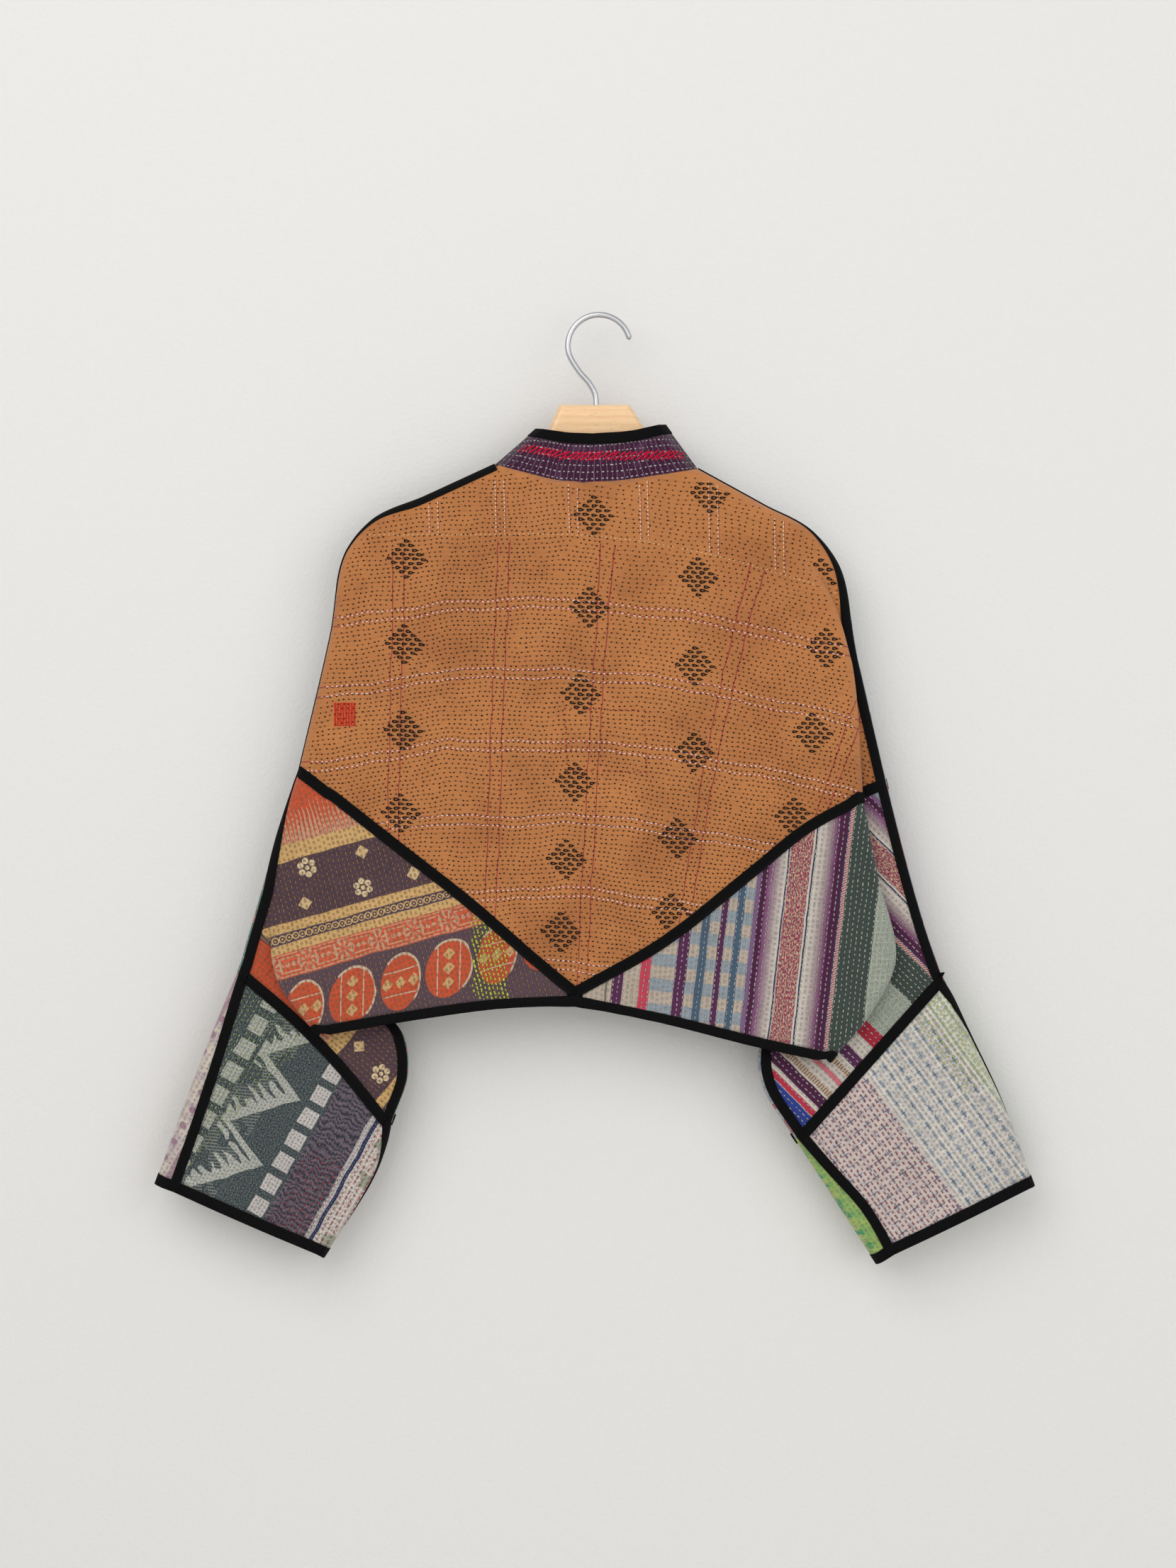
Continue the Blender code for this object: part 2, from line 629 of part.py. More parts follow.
def edge_turn(edge, inward, seam, face, half):
    """Strips of tape round an edge, from its flat to just short of the tape along that edge."""
    stop = seam + face * math.degrees((TAPE_WIDTH / 2 + END_GAP) / TAPE_RADIUS)
    start = 90.0 * face
    if (stop - start) * face > 0:
        angles = stop
    else:
        count = math.ceil(abs(stop - start)[0] / MOST_TURN)
        angles = start + (stop - start) * steps(count)
    count = len(angles)
    edge = np.repeat(edge, count, axis=0)
    inward = np.repeat(inward, count, axis=0)
    points = round_edge(edge, inward, angles, TAPE_RADIUS)
    return np.stack([points - half, points + half])


def v_tape_grids(side, face):
    """The tape over the V seam: one strip on the body and one on the sleeve, or one in all with no pleat."""
    grid = side.yoke(face)
    last_flat = BODY_COLUMNS + PLEAT_COLUMNS + SLEEVE_COLUMNS
    upper, lower = row_tape(side, face, grid[-1, : last_flat + 1], grid[-2, : last_flat + 1], TAPE_WIDTH / 2)
    hem = along(side.table["hem"], steps(LINE_SAMPLES)) + np.array([0.0, TAPE_WIDTH + V_SEAM_GAP])
    order = np.argsort(hem[:, 0])
    floor = np.interp(lower[:, 0], hem[order, 0], hem[order, 1])
    near = np.abs(lower[:, 0] - V_TIP[0]) < V_NOSE
    lower[near, 2] = np.maximum(lower[near, 2], floor[near] + SEAM_GAP)
    strip = np.stack([upper, lower])
    strip[:, 0] = moved(strip[:, 0], strip[:, 1], SEAM_GAP)
    rows = np.array([1.0])
    (edge,) = side.lines("yoke", YOKE_SECTIONS, rows, ("edge",))
    half = (lower[last_flat] - upper[last_flat]) / 2
    turn = edge_turn(edge, side.inward("yoke", rows), side.seam("yoke", rows), face, half)
    if not side.table["yoke_pleat"][-1]:
        return [np.concatenate([strip[:, :last_flat], turn], axis=1)]
    body = strip[:, : BODY_COLUMNS + 1]
    sleeve = strip[:, BODY_COLUMNS + PLEAT_COLUMNS : last_flat]
    return [body, np.concatenate([sleeve, turn], axis=1)]


def edge_tape_grid(side, regions, low=False):
    """The tape over the top seam or the underarm seam, wrapped round the sleeve's edge."""
    made = []
    for region, rows in regions:
        sections = {
            "yoke": YOKE_SECTIONS,
            "side": SIDE_SECTIONS,
            "forearm": FOREARM_SECTIONS,
            "cuff": CUFF_SECTIONS,
        }[region]
        if low:
            line = through(side.table["underarm" if region == "forearm" else "cuff_inner"], sections, rows)
            inward = side.low_inward(region, rows)
            angles = side.low_seam(region, rows)
        else:
            (line,) = side.lines(region, sections, rows, ("edge",))
            inward = side.inward(region, rows)
            angles = side.seam(region, rows)
        half = math.degrees(TAPE_WIDTH / 2 / TAPE_RADIUS)
        strips = [round_edge(line, inward, angles + half * share, TAPE_RADIUS) for share in TAPE_SHARES]
        made.append(np.stack(strips, axis=1))
    return np.concatenate(made)


def forearm_tape_grid(side, face):
    """The tape over the forearm seam, between the tapes on the sleeve's two edges."""
    grid = side.tube("forearm", steps(FOREARM_ROWS), face)
    rows = np.array([1.0])
    (edge,) = side.lines("forearm", FOREARM_SECTIONS, rows, ("edge",))
    low = through(side.table["underarm"], FOREARM_SECTIONS, rows)
    flats = slice(LOW_STEPS, LOW_STEPS + SLEEVE_COLUMNS)
    upper, lower = row_tape(side, face, grid[-1, flats], grid[-2, flats], TAPE_WIDTH / 2)
    half = (lower[1] - upper[1]) / 2
    first = edge_turn(low, side.low_inward("forearm", rows), side.low_seam("forearm", rows), face, half)
    last = edge_turn(edge, side.inward("forearm", rows), side.seam("forearm", rows), face, half)
    middle = np.stack([upper, lower])[:, 1:-1]
    return np.concatenate([first[:, ::-1], middle, last], axis=1)


def hem_tape_side(side, face):
    """The hem's tape below one side panel, from its tip round the fold to the hidden crease."""
    grid = side.side_panel(face)[:, : BODY_COLUMNS + CREASE_COLUMNS]
    down = unit(grid[-1] - grid[-2])
    return np.stack([grid[-1] + down * V_SEAM_GAP, grid[-1] + down * (SEAM_GAP + TAPE_WIDTH)])


def hem_centre_column(x, face):
    """The hem tape's column on the centre line."""
    top = (x, -CENTRE_DEPTH * face, HEM_CENTRE[1] + TAPE_WIDTH)
    return np.array([[top], [(x, -CENTRE_DEPTH * face, HEM_CENTRE[1])]], float)


def cuff_hem_grid(side):
    """The tape round the cuff's open end, as a closed ring."""
    rings = []
    for face in (1, -1):
        grid = side.cuff(face)
        down = unit(grid[-1] - grid[-2])
        ring = np.stack([grid[-1] + down * SEAM_GAP, grid[-1] + down * (SEAM_GAP + TAPE_WIDTH)])
        rings.append(ring[:, 1:-1])
    return np.concatenate([rings[0], rings[1][:, ::-1]], axis=1)


def neck_line(side):
    """The lower edge of the collar on one side, from the centre back over the shoulder to the front."""
    back = side.yoke(1)[0]
    front = side.yoke(-1)[0]
    ridge = np.array([[side.table["yoke_edge"][0][0], 0.0, side.table["yoke_edge"][0][1]]])
    last_flat = BODY_COLUMNS + PLEAT_COLUMNS + SLEEVE_COLUMNS
    picked = [back[: BODY_COLUMNS + 1], back[last_flat : last_flat + 1], ridge]
    picked += [front[last_flat : last_flat + 1], front[BODY_COLUMNS::-1]]
    return np.concatenate(picked)


def collar_grids(sides):
    """The collar's rows from the neck up to its tape, and the tape's rows above them."""
    lower = []
    upper = []
    gaps = []
    ridge_at = BODY_COLUMNS + 2
    for name, side in sides.items():
        low = neck_line(side)
        top = []
        for part, points in zip((low[: ridge_at + 1], low[ridge_at:]), COLLAR_TOP[name]):
            lengths = np.concatenate([[0.0], np.cumsum(np.linalg.norm(np.diff(part, axis=0), axis=1))])
            top.append(along(points, lengths / lengths[-1]))
        top = np.concatenate([top[0], top[1][1:]])
        near_ridge = np.clip(1 - np.abs(np.arange(len(low)) - ridge_at) / RIDGE_REACH, 0, 1)
        gap = 2 * SEAM_GAP + (COLLAR_GAP - 2 * SEAM_GAP) * near_ridge
        if name == "left":
            low, top, gap = low[:0:-1], top[:0:-1], gap[:0:-1]
        lower.append(low)
        upper.append(top)
        gaps.append(gap)
    low = np.concatenate(lower)
    top = np.concatenate(upper)
    rise = unit(top - low)
    low = low + rise * np.concatenate(gaps)[:, None]
    panel_top = top - rise * (TAPE_WIDTH + EDGE_SEAM_GAP)
    share = steps(COLLAR_ROWS)[:, None, None]
    panel = low[None] * (1 - share) + panel_top[None] * share
    tape = np.stack([top - rise * TAPE_WIDTH, top])
    return panel, tape


def front_edge_grid(side, collar_end):
    """The tape down the front opening, from the top of the collar to the hem's tape."""
    column = side.yoke(-1)[:, 0]
    bottom = column[-1] + np.array([0.0, 0.0, HEM_CENTRE[1] + TAPE_WIDTH + 2 * SEAM_GAP - column[-1][2]])
    line = np.concatenate([collar_end[::-1], column[1:], bottom[None]])
    toward = np.array([-side.sign, 0.0, 0.0])
    return np.stack([line + toward * SEAM_GAP, line + toward * (SEAM_GAP + TAPE_WIDTH)], axis=1)


def build_tapes(sides, collection):
    """Every tape but the collar's and the front opening's."""
    hem_parts = []
    for name, side in sides.items():
        full = [
            ("yoke", steps(YOKE_ROWS)),
            ("side", steps(SIDE_ROWS)[1:]),
            ("forearm", steps(FOREARM_ROWS)[1:]),
        ]
        top = trimmed(edge_tape_grid(side, full), first=NECK_TRIM, last=END_TRIM)
        grid_object("tape_top_" + name, top, "black", collection, TAPE_WALL)
        cuff = trimmed(edge_tape_grid(side, [("cuff", steps(CUFF_ROWS))]), first=END_TRIM, last=HEM_TRIM)
        grid_object("tape_cuff_top_" + name, cuff, "black", collection, TAPE_WALL)
        low_rows = [("forearm", steps(FOREARM_ROWS)[1:])]
        low = trimmed(edge_tape_grid(side, low_rows, low=True), last=END_TRIM)
        grid_object("tape_underarm_" + name, low, "black", collection, TAPE_WALL)
        low_cuff = edge_tape_grid(side, [("cuff", steps(CUFF_ROWS))], low=True)
        low_cuff = trimmed(low_cuff, first=END_TRIM, last=HEM_TRIM)
        grid_object("tape_cuff_low_" + name, low_cuff, "black", collection, TAPE_WALL)
        ring = cuff_hem_grid(side)
        grid_object("tape_cuff_hem_" + name, ring, "black", collection, HEM_TAPE_WALL, closed=True)
        for face, word in ((1, "back"), (-1, "front")):
            for piece, grid in zip(("", "_sleeve"), v_tape_grids(side, face)):
                grid_object(f"tape_v_{word}_{name}{piece}", grid, "black", collection, TAPE_WALL)
            forearm = forearm_tape_grid(side, face)
            grid_object(f"tape_forearm_{word}_{name}", forearm, "black", collection, TAPE_WALL)
        hem_parts.append(hem_tape_side(side, 1))
        start = hem_centre_column(CENTRE_X + FRONT_HALF_GAP * side.sign, -1)
        front_hem = np.concatenate([start, hem_tape_side(side, -1)], axis=1)
        grid_object("tape_hem_front_" + name, front_hem, "black", collection, HEM_TAPE_WALL)
    middle = hem_centre_column(HEM_CENTRE[0], 1)
    hem = np.concatenate([hem_parts[0][:, ::-1], middle, hem_parts[1]], axis=1)
    grid_object("tape_hem_back", hem, "black", collection, HEM_TAPE_WALL)


def build_collar(sides, collection):
    """The collar, its tape, and the tapes down the front opening."""
    panel, tape = collar_grids(sides)
    grid_object("collar", panel, "plum", collection)
    grid_object("tape_collar", tape, "black", collection, HEM_TAPE_WALL)
    for name, end in (("left", panel[:, 0]), ("right", panel[:, -1])):
        front = front_edge_grid(sides[name], end)
        grid_object("tape_front_" + name, front, "black", collection, HEM_TAPE_WALL)


# Hanger


def arm_lines(side):
    """The upper and lower lines of one arm, under the shoulder of the cloth."""
    rows = steps(ARM_STEPS, *ARM_ROWS)
    (line,) = side.lines("yoke", YOKE_SECTIONS, rows, ("edge",))
    inward = side_normals(line, side.sign)
    share = steps(ARM_STEPS)
    depth = ARM_DEPTH_ROOT + (ARM_DEPTH_TIP - ARM_DEPTH_ROOT) * share
    return line + inward * ARM_CLEARANCE, line + inward * (ARM_CLEARANCE + depth)[:, None]


def build_hanger(sides, collection, helpers):
    """One flat piece of wood with rounded edges: the block and both arms, with a socket for the hook."""
    left_top, left_low = arm_lines(sides["left"])
    right_top, right_low = arm_lines(sides["right"])
    outline = BLOCK_OUTLINE + left_top.tolist() + left_low[::-1].tolist()
    outline += [BLOCK_FLOOR] + right_low.tolist() + right_top[::-1].tolist()
    curve = bpy.data.curves.new("hanger_wood", "CURVE")
    curve.dimensions = "2D"
    curve.fill_mode = "BOTH"
    curve.extrude = (HANGER_THICKNESS / 2 - HANGER_EDGE) * MM
    curve.bevel_depth = HANGER_EDGE * MM
    curve.bevel_resolution = EDGE_RESOLUTION
    curve.offset = -HANGER_EDGE * MM
    spline = curve.splines.new("POLY")
    spline.points.add(len(outline) - 1)
    for point, (x, z) in zip(spline.points, outline):
        point.co = (x * MM, z * MM, 0.0, 1.0)
    spline.use_cyclic_u = True
    flat = bpy.data.objects.new("hanger_outline", curve)
    flat.rotation_euler = (math.radians(90), 0.0, 0.0)
    helpers.objects.link(flat)
    bpy.context.view_layer.update()
    mesh = bpy.data.meshes.new_from_object(flat.evaluated_get(bpy.context.evaluated_depsgraph_get()))
    mesh.transform(flat.matrix_world)
    bpy.data.objects.remove(flat, do_unlink=True)
    wood = new_object("hanger_wood", mesh, "beech", collection)
    weld = wood.modifiers.new("Weld", "WELD")
    weld.merge_threshold = WELD_DISTANCE * MM
    bpy.ops.mesh.primitive_cylinder_add(
        vertices=SOCKET_SIDES,
        radius=SOCKET_RADIUS * MM,
        depth=2 * SOCKET_DEPTH * MM,
        location=(HOOK_NECK[-1][0] * MM, 0.0, BLOCK_TOP * MM),
    )
    cutter = bpy.context.active_object
    cutter.name = "socket_cutter"
    cutter.hide_render = True
    cutter.display_type = "WIRE"
    for holder in list(cutter.users_collection):
        holder.objects.unlink(cutter)
    helpers.objects.link(cutter)
    socket = wood.modifiers.new("Socket", "BOOLEAN")
    socket.operation = "DIFFERENCE"
    socket.object = cutter


def build_hook(collection):
    """A round wire: over the top in one arc, then in an S down into the block."""
    angles = np.radians(np.arange(HOOK_TIP_ANGLE, HOOK_BACK_ANGLE, HOOK_STEP))
    centre = WIRE_RADIUS - HOOK_RADIUS
    arc = np.stack([HOOK_RADIUS * np.cos(angles), centre + HOOK_RADIUS * np.sin(angles)], axis=1)
    whole = np.concatenate([arc, np.array(HOOK_NECK)])
    start = len(arc) - HOOK_BLEND
    bend = along(whole[start:-1], steps(HOOK_BEND_STEPS))
    line = np.concatenate([whole[:start], bend, whole[-1:]])
    curve = bpy.data.curves.new("hook", "CURVE")
    curve.dimensions = "3D"
    curve.bevel_depth = WIRE_RADIUS * MM
    curve.bevel_resolution = WIRE_RESOLUTION
    curve.use_fill_caps = True
    spline = curve.splines.new("POLY")
    spline.points.add(len(line) - 1)
    for point, (x, z) in zip(spline.points, line):
        point.co = (x * MM, 0.0, z * MM, 1.0)
    spline.use_smooth = True
    new_object("hook", curve, "aluminium", collection)


def main():
    clear_scene()
    jacket = bpy.data.collections.new("kantha_jacket")
    helpers = bpy.data.collections.new("helpers")
    for made in (jacket, helpers):
        bpy.context.scene.collection.children.link(made)
    sides = {name: Side(name) for name in SIDES}
    build_panels(sides, jacket)
    build_collar(sides, jacket)
    build_tapes(sides, jacket)
    build_hanger(sides, jacket, helpers)
    build_hook(jacket)


main()
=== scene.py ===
"""Looks of the cropped kantha jacket on its hanger: cloth shells, tapes, stitches, finishes and studio."""

import functools
import logging
import math
from dataclasses import dataclass, field
from enum import Enum
from typing import Callable, ClassVar, Iterable, Sequence

import bpy
import numpy as np
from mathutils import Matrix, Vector
from mathutils.bvhtree import BVHTree


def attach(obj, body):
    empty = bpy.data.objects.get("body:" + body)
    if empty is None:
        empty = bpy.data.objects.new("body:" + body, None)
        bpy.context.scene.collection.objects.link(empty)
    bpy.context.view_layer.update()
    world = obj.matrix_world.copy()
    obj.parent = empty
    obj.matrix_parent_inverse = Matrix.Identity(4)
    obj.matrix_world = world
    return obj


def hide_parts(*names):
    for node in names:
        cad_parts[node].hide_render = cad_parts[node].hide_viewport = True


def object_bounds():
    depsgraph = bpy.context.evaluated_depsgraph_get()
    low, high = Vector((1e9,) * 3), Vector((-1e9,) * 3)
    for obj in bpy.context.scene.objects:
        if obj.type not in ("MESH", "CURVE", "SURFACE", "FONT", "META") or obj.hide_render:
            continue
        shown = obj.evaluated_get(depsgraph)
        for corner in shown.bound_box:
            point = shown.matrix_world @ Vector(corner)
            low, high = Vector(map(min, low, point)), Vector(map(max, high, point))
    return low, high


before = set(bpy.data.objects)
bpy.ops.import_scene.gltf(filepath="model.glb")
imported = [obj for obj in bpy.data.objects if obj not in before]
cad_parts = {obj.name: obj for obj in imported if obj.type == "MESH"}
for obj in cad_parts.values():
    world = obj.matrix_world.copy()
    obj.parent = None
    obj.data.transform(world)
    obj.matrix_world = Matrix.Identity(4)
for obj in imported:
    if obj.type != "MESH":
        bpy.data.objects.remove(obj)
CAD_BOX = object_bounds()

LOG = logging.getLogger("jacket")
Array = np.ndarray

# All sizes below are millimetres, in the frame of the solids
MM = 0.001
SEED = 7

# Cloth and tape
WALL = 2.2
TAPE_WALL = 1.2
HEM_TAPE_WALL = 3.6
TAPE_WIDTH = 10.0
SEAM_GAP = 0.15
EDGE_RADIUS = 9.0
TAPE_LIFT = 0.15
TAPE_OFFSET = WALL / 2 + TAPE_LIFT + TAPE_WALL / 2
TAPE_RADIUS = EDGE_RADIUS + TAPE_OFFSET

# Depth of each layer from the middle plane
NECK_DEPTH = 19.0
CENTRE_DEPTH = 23.0
BODY_DEPTH = 27.0
MIDDLE_DEPTH = 18.0
SLEEVE_DEPTH = EDGE_RADIUS
FOLD_RADIUS = 4.5
PLEAT_SPREAD = 20.0
CUFF_BULGE = 4.0
WAVE_DEPTH = 1.6

# Fineness of the meshes
BODY_COLUMNS = 56
PLEAT_COLUMNS = 10
EDGE_STEPS = 4
LOW_STEPS = 3
SLEEVE_COLUMNS = 4
FINE = 4
CUFF_FINE = FINE * 3
YOKE_ROWS = 110
SIDE_ROWS = 56
FOREARM_ROWS = 36
CUFF_ROWS = 46
LINE_STEPS = 40
LONG_STEPS = 60
KEY_STEPS = 30

# Tapes: the steps across a flat one, one on a seam and one round an edge, the rows that the top tape has on
# the forearm and that the crease hides from the underarm's, and the gap between a flat tape and the cloth
TAPE_STEPS = 4
SEAM_TAPE_STEPS = 6
WRAP_STEPS = 8
TOP_ROWS = 6
HIDDEN_ROWS = 6
TAPE_GAP = 0.1

# Within this reach of the centre, the V's tapes keep this room above the hem's tape
TIP_REACH = 60.0
TIP_ROOM = 0.3

# How far above the hem's tape the front's tapes end
FRONT_END = 0.4

# How many degrees the flat of a face reaches past a seam that lies on it
FLAT_PAST = 12.0

# The centre line, and the shares of the V seam and of the front where the panels start beside it
CENTRE_X = -20.0
V_TIP = (-22.0, -617.5)
HEM_CENTRE = (-22.0, -630.0)
TIP_SHARE = 0.03
FRONT_TIP_SHARE = 0.08
FRONT_SHARE = 0.05

YOKE_SECTIONS = (0.0, 0.20, 0.36, 0.46, 0.67, 1.0)
SIDE_SECTIONS = (0.0, 0.30, 0.60, 0.80, 1.0)
FOREARM_SECTIONS = (0.0, 0.25, 0.45, 0.70, 1.0)
CUFF_SECTIONS = (0.0, 0.33, 0.67, 1.0)
SECTIONS = {
    "yoke": YOKE_SECTIONS,
    "side": SIDE_SECTIONS,
    "forearm": FOREARM_SECTIONS,
    "cuff": CUFF_SECTIONS,
}

# The lines of the solids, as x and z
SIDES = {
    "left": {
        "sign": -1,
        "back_neck": [(-14, -153), (-40, -150), (-95, -136)],
        "front_neck": [(-31, -213), (-46, -203), (-70, -174), (-95, -136)],
        "yoke_edge": [(-95, -136), (-158, -165), (-208, -188), (-229, -213), (-245, -292), (-274, -416)],
        "yoke_fold": [(-80, -150), (-150, -180), (-195, -200), (-215, -220), (-232, -295), (-252, -425)],
        "yoke_inner": [(-82, -148), (-152, -178), (-197, -198), (-217, -218), (-234, -294), (-254, -424)],
        "yoke_pleat": [0, 0, 0, 0, 0, 0],
        "side_edge": [(-274, -416), (-292, -470), (-315, -548), (-322, -572), (-327, -590)],
        "side_fold": [(-252, -425), (-272, -482), (-303, -556), (-292, -605), (-262, -648)],
        "side_inner": [(-254, -424), (-274, -480), (-306, -560), (-281, -584), (-236, -612)],
        "side_pleat": [0, 0, 0.25, 1, 1],
        "forearm_edge": [(-327, -590), (-328, -593), (-329, -595), (-330, -598), (-331, -601)],
        "underarm": [(-236, -612), (-204, -634), (-182, -655), (-176, -692), (-190, -735)],
        "cuff_edge": [(-331, -601), (-357, -664), (-382, -729), (-406, -794)],
        "cuff_inner": [(-190, -735), (-204, -778), (-227, -820), (-253, -861)],
        "v_seam": [V_TIP, (-46, -598), (-118, -536), (-190, -480), (-262, -424)],
        "hem": [HEM_CENTRE, (-100, -634), (-180, -645), (-262, -659)],
        "forearm_bow": 6.0,
        "top_seam": {"shoulder": 42.0, "yoke": -35.0, "side": 74.0, "cuff": (74, 112, 132, 138)},
        "low_seam": {"forearm": 60.0, "cuff": (60, -8, -46, -64)},
    },
    "right": {
        "sign": 1,
        "back_neck": [(-14, -153), (16, -151), (90, -140)],
        "front_neck": [(-7, -213), (14, -204), (54, -177), (90, -140)],
        "yoke_edge": [(90, -140), (150, -173), (196, -199), (217, -226), (237, -315), (263, -428)],
        "yoke_fold": [(76, -155), (135, -188), (182, -214), (211, -242), (229, -318), (239, -440)],
        "yoke_inner": [(74, -153), (133, -186), (180, -212), (207, -242), (222, -318), (226, -440)],
        "yoke_pleat": [0, 0, 0, 0.35, 1, 1],
        "side_edge": [(263, -428), (280, -496), (297, -556), (306, -583), (312, -600)],
        "side_fold": [(239, -440), (252, -510), (268, -590), (246, -636), (216, -672)],
        "side_inner": [(226, -440), (226, -510), (218, -572), (207, -606), (188, -630)],
        "side_pleat": [1, 1, 1, 1, 1],
        "forearm_edge": [(312, -600), (313, -602), (314, -604), (315, -606), (316, -608)],
        "underarm": [(188, -630), (164, -650), (148, -671), (151, -705), (180, -752)],
        "cuff_edge": [(316, -608), (340, -660), (372, -727), (398, -796)],
        "cuff_inner": [(180, -752), (204, -789), (229, -827), (255, -867)],
        "v_seam": [V_TIP, (60, -570), (140, -507), (190, -467), (239, -440)],
        "hem": [HEM_CENTRE, (70, -649), (150, -669), (216, -683)],
        "forearm_bow": 0.0,
        "top_seam": {"shoulder": -25.0, "yoke": 66.0, "side": 66.0, "cuff": (66, -8, -46, -64)},
        "low_seam": {"forearm": 74.0, "cuff": (74, 110, 146, 132)},
    },
}
COLLAR_TOP = {
    "left": [
        [(-6, -17, -108.5), (-30, -15.5, -107), (-50, -10, -104), (-57, 0, -103)],
        [(-57, 0, -103), (-54, 9, -113), (-48, 15, -132), (-40, 18, -148), (-31, 20, -164)],
    ],
    "right": [
        [(-6, -17, -108.5), (32, -15.5, -105), (53, -10, -100), (60, 0, -99)],
        [(60, 0, -99), (56, 9, -112), (44, 15, -132), (20, 18, -150), (-7, 20, -164)],
    ],
}
COLLAR_ROWS = 12
COLLAR_SINK = 0.6
NECK_ROWS = 6

# The collar's satin band: its height above the neck and its fall to the right, the pitch of its stitches,
# the shifts of its two rows, and the depth where it ends near the sides
SATIN_HEIGHT = 24.5
SATIN_FALL = 8.0
SATIN_PITCH = 4.9
SATIN_ROWS = (1.9, -1.9)
SATIN_DEPTH = 2.0

# Where each cuff's cloth starts, and the direction of its grain, as x and z
CUFF_GRAIN = {"left": (-331.0, -601.0, -0.49, -0.87), "right": (180.0, -752.0, 0.59, -0.81)}

# The last point of a seam before its end lies at least this far from it
SEAM_ROOM = 3.0

# Fall of the back's level lines towards the left edge, for each millimetre past this place
LEFT_FALL = 0.19
LEFT_FALL_AT = -140.0

# Growth of the ochre cloth's width on the right for each millimetre below this drop
FLARE = 0.0011
FLARE_AT = 411.0

# Hook: the radii of its wire and its arc, the arc's two end angles, and the line of its neck as x and z
WIRE_RADIUS = 2.7
HOOK_RADIUS = 28.6
HOOK_TIP_ANGLE = 17.0
HOOK_BACK_ANGLE = 192.0
HOOK_NECK = [(-18.9, -48.4), (-8.5, -60.8), (-3.4, -71.0), (-2.6, -80.0), (-2.6, -98.0)]

# The hook's rounded tip: how far each of its rings lies past the end, and its width, as shares of the radius
HOOK_TIP = ((1.0, 0.25), (0.8, 0.6), (0.4, 0.92))


class Face(Enum):
    """The two faces of the jacket, with the sign that turns a depth towards each."""

    BACK = 1
    FRONT = -1

    @property
    def word(self) -> str:
        """The word used in the names of the solids."""
        return self.name.lower()


def steps(count: int, start: float = 0.0, stop: float = 1.0) -> Array:
    """Evenly spaced values, one more than the count."""
    return np.linspace(start, stop, count + 1)


def eased(start: float, stop: float, share: Array) -> Array:
    """A value that goes from start to stop while the share goes from 0 to 1."""
    return start + (stop - start) * np.clip(share, 0, 1)


def through(values: Iterable, knots: Iterable, at: Iterable) -> Array:
    """A smooth curve through the values: a cubic between each two knots, with slopes from their neighbours.

    Args:
        values: what the curve passes through, one row for each knot.
        knots: where those rows stand, in rising order.
        at: where the curve is read.

    Returns:
        One row for each place in at.
    """
    values, knots, at = (np.asarray(given, float) for given in (values, knots, at))
    slopes = np.gradient(values, knots, axis=0)
    span = np.clip(np.searchsorted(knots, at, side="right") - 1, 0, len(knots) - 2)
    width = knots[span + 1] - knots[span]
    shape = (-1,) + (1,) * (values.ndim - 1)
    share = ((at - knots[span]) / width).reshape(shape)
    width = width.reshape(shape)
    leave = share**3 - 2 * share**2 + share
    arrive = share**3 - share**2
    start = (2 * share**3 - 3 * share**2 + 1) * values[span] + leave * width * slopes[span]
    end = (3 * share**2 - 2 * share**3) * values[span + 1] + arrive * width * slopes[span + 1]
    return start + end


def run_lengths(points: Array) -> Array:
    """The length of a line up to each of its points."""
    return np.concatenate([[0.0], np.cumsum(np.linalg.norm(np.diff(points, axis=0), axis=1))])


def along(points: Iterable, shares: Iterable) -> Array:
    """Points at these shares of the length of a smooth curve through the given ones."""
    points = np.asarray(points, float)
    lengths = run_lengths(points)
    return through(points, lengths / lengths[-1], shares)


def unit(vectors: Array) -> Array:
    """The vectors at length one."""
    return vectors / np.maximum(np.linalg.norm(vectors, axis=-1, keepdims=True), 1e-9)

def side_normals(line: Array, sign: float) -> Array:
    """Unit normals in the plane, on the right of a line that runs down for sign 1."""
    run = np.gradient(line, axis=0)
    return unit(np.stack([run[:, 1], -run[:, 0]], axis=1) * sign)


def read_normals(line: Array, sign: float, keys: Array, at: Array) -> Array:
    """The unit normals of a line, whose points stand at the keys, read at other places."""
    normals = side_normals(line, sign)
    return unit(np.stack([np.interp(at, keys, normals[:, axis]) for axis in (0, 1)], axis=1))


def coons(top: Array, bottom: Array, inner: Array, outer: Array) -> Array:
    """A patch between four curves: the two ruled surfaces between them, less the one through its corners.

    Args:
        top, bottom: curves that run outwards.
        inner, outer: curves that run down.

    Returns:
        The points, rows down and columns outwards.
    """
    rows = steps(len(inner) - 1)[:, None, None]
    columns = steps(len(top) - 1)[None, :, None]
    across = (1 - columns) * inner[:, None] + columns * outer[:, None]
    down = (1 - rows) * top[None] + rows * bottom[None]
    upper = (1 - columns) * top[0] + columns * top[-1]
    lower = (1 - columns) * bottom[0] + columns * bottom[-1]
    return across + down - (1 - rows) * upper - rows * lower


def deep(plane: Array, depth: Array | float) -> Array:
    """Joins x and z with a depth towards the back, which lies at -Y."""
    return np.stack([plane[..., 0], -np.broadcast_to(depth, plane.shape[:-1]), plane[..., 1]], axis=-1)


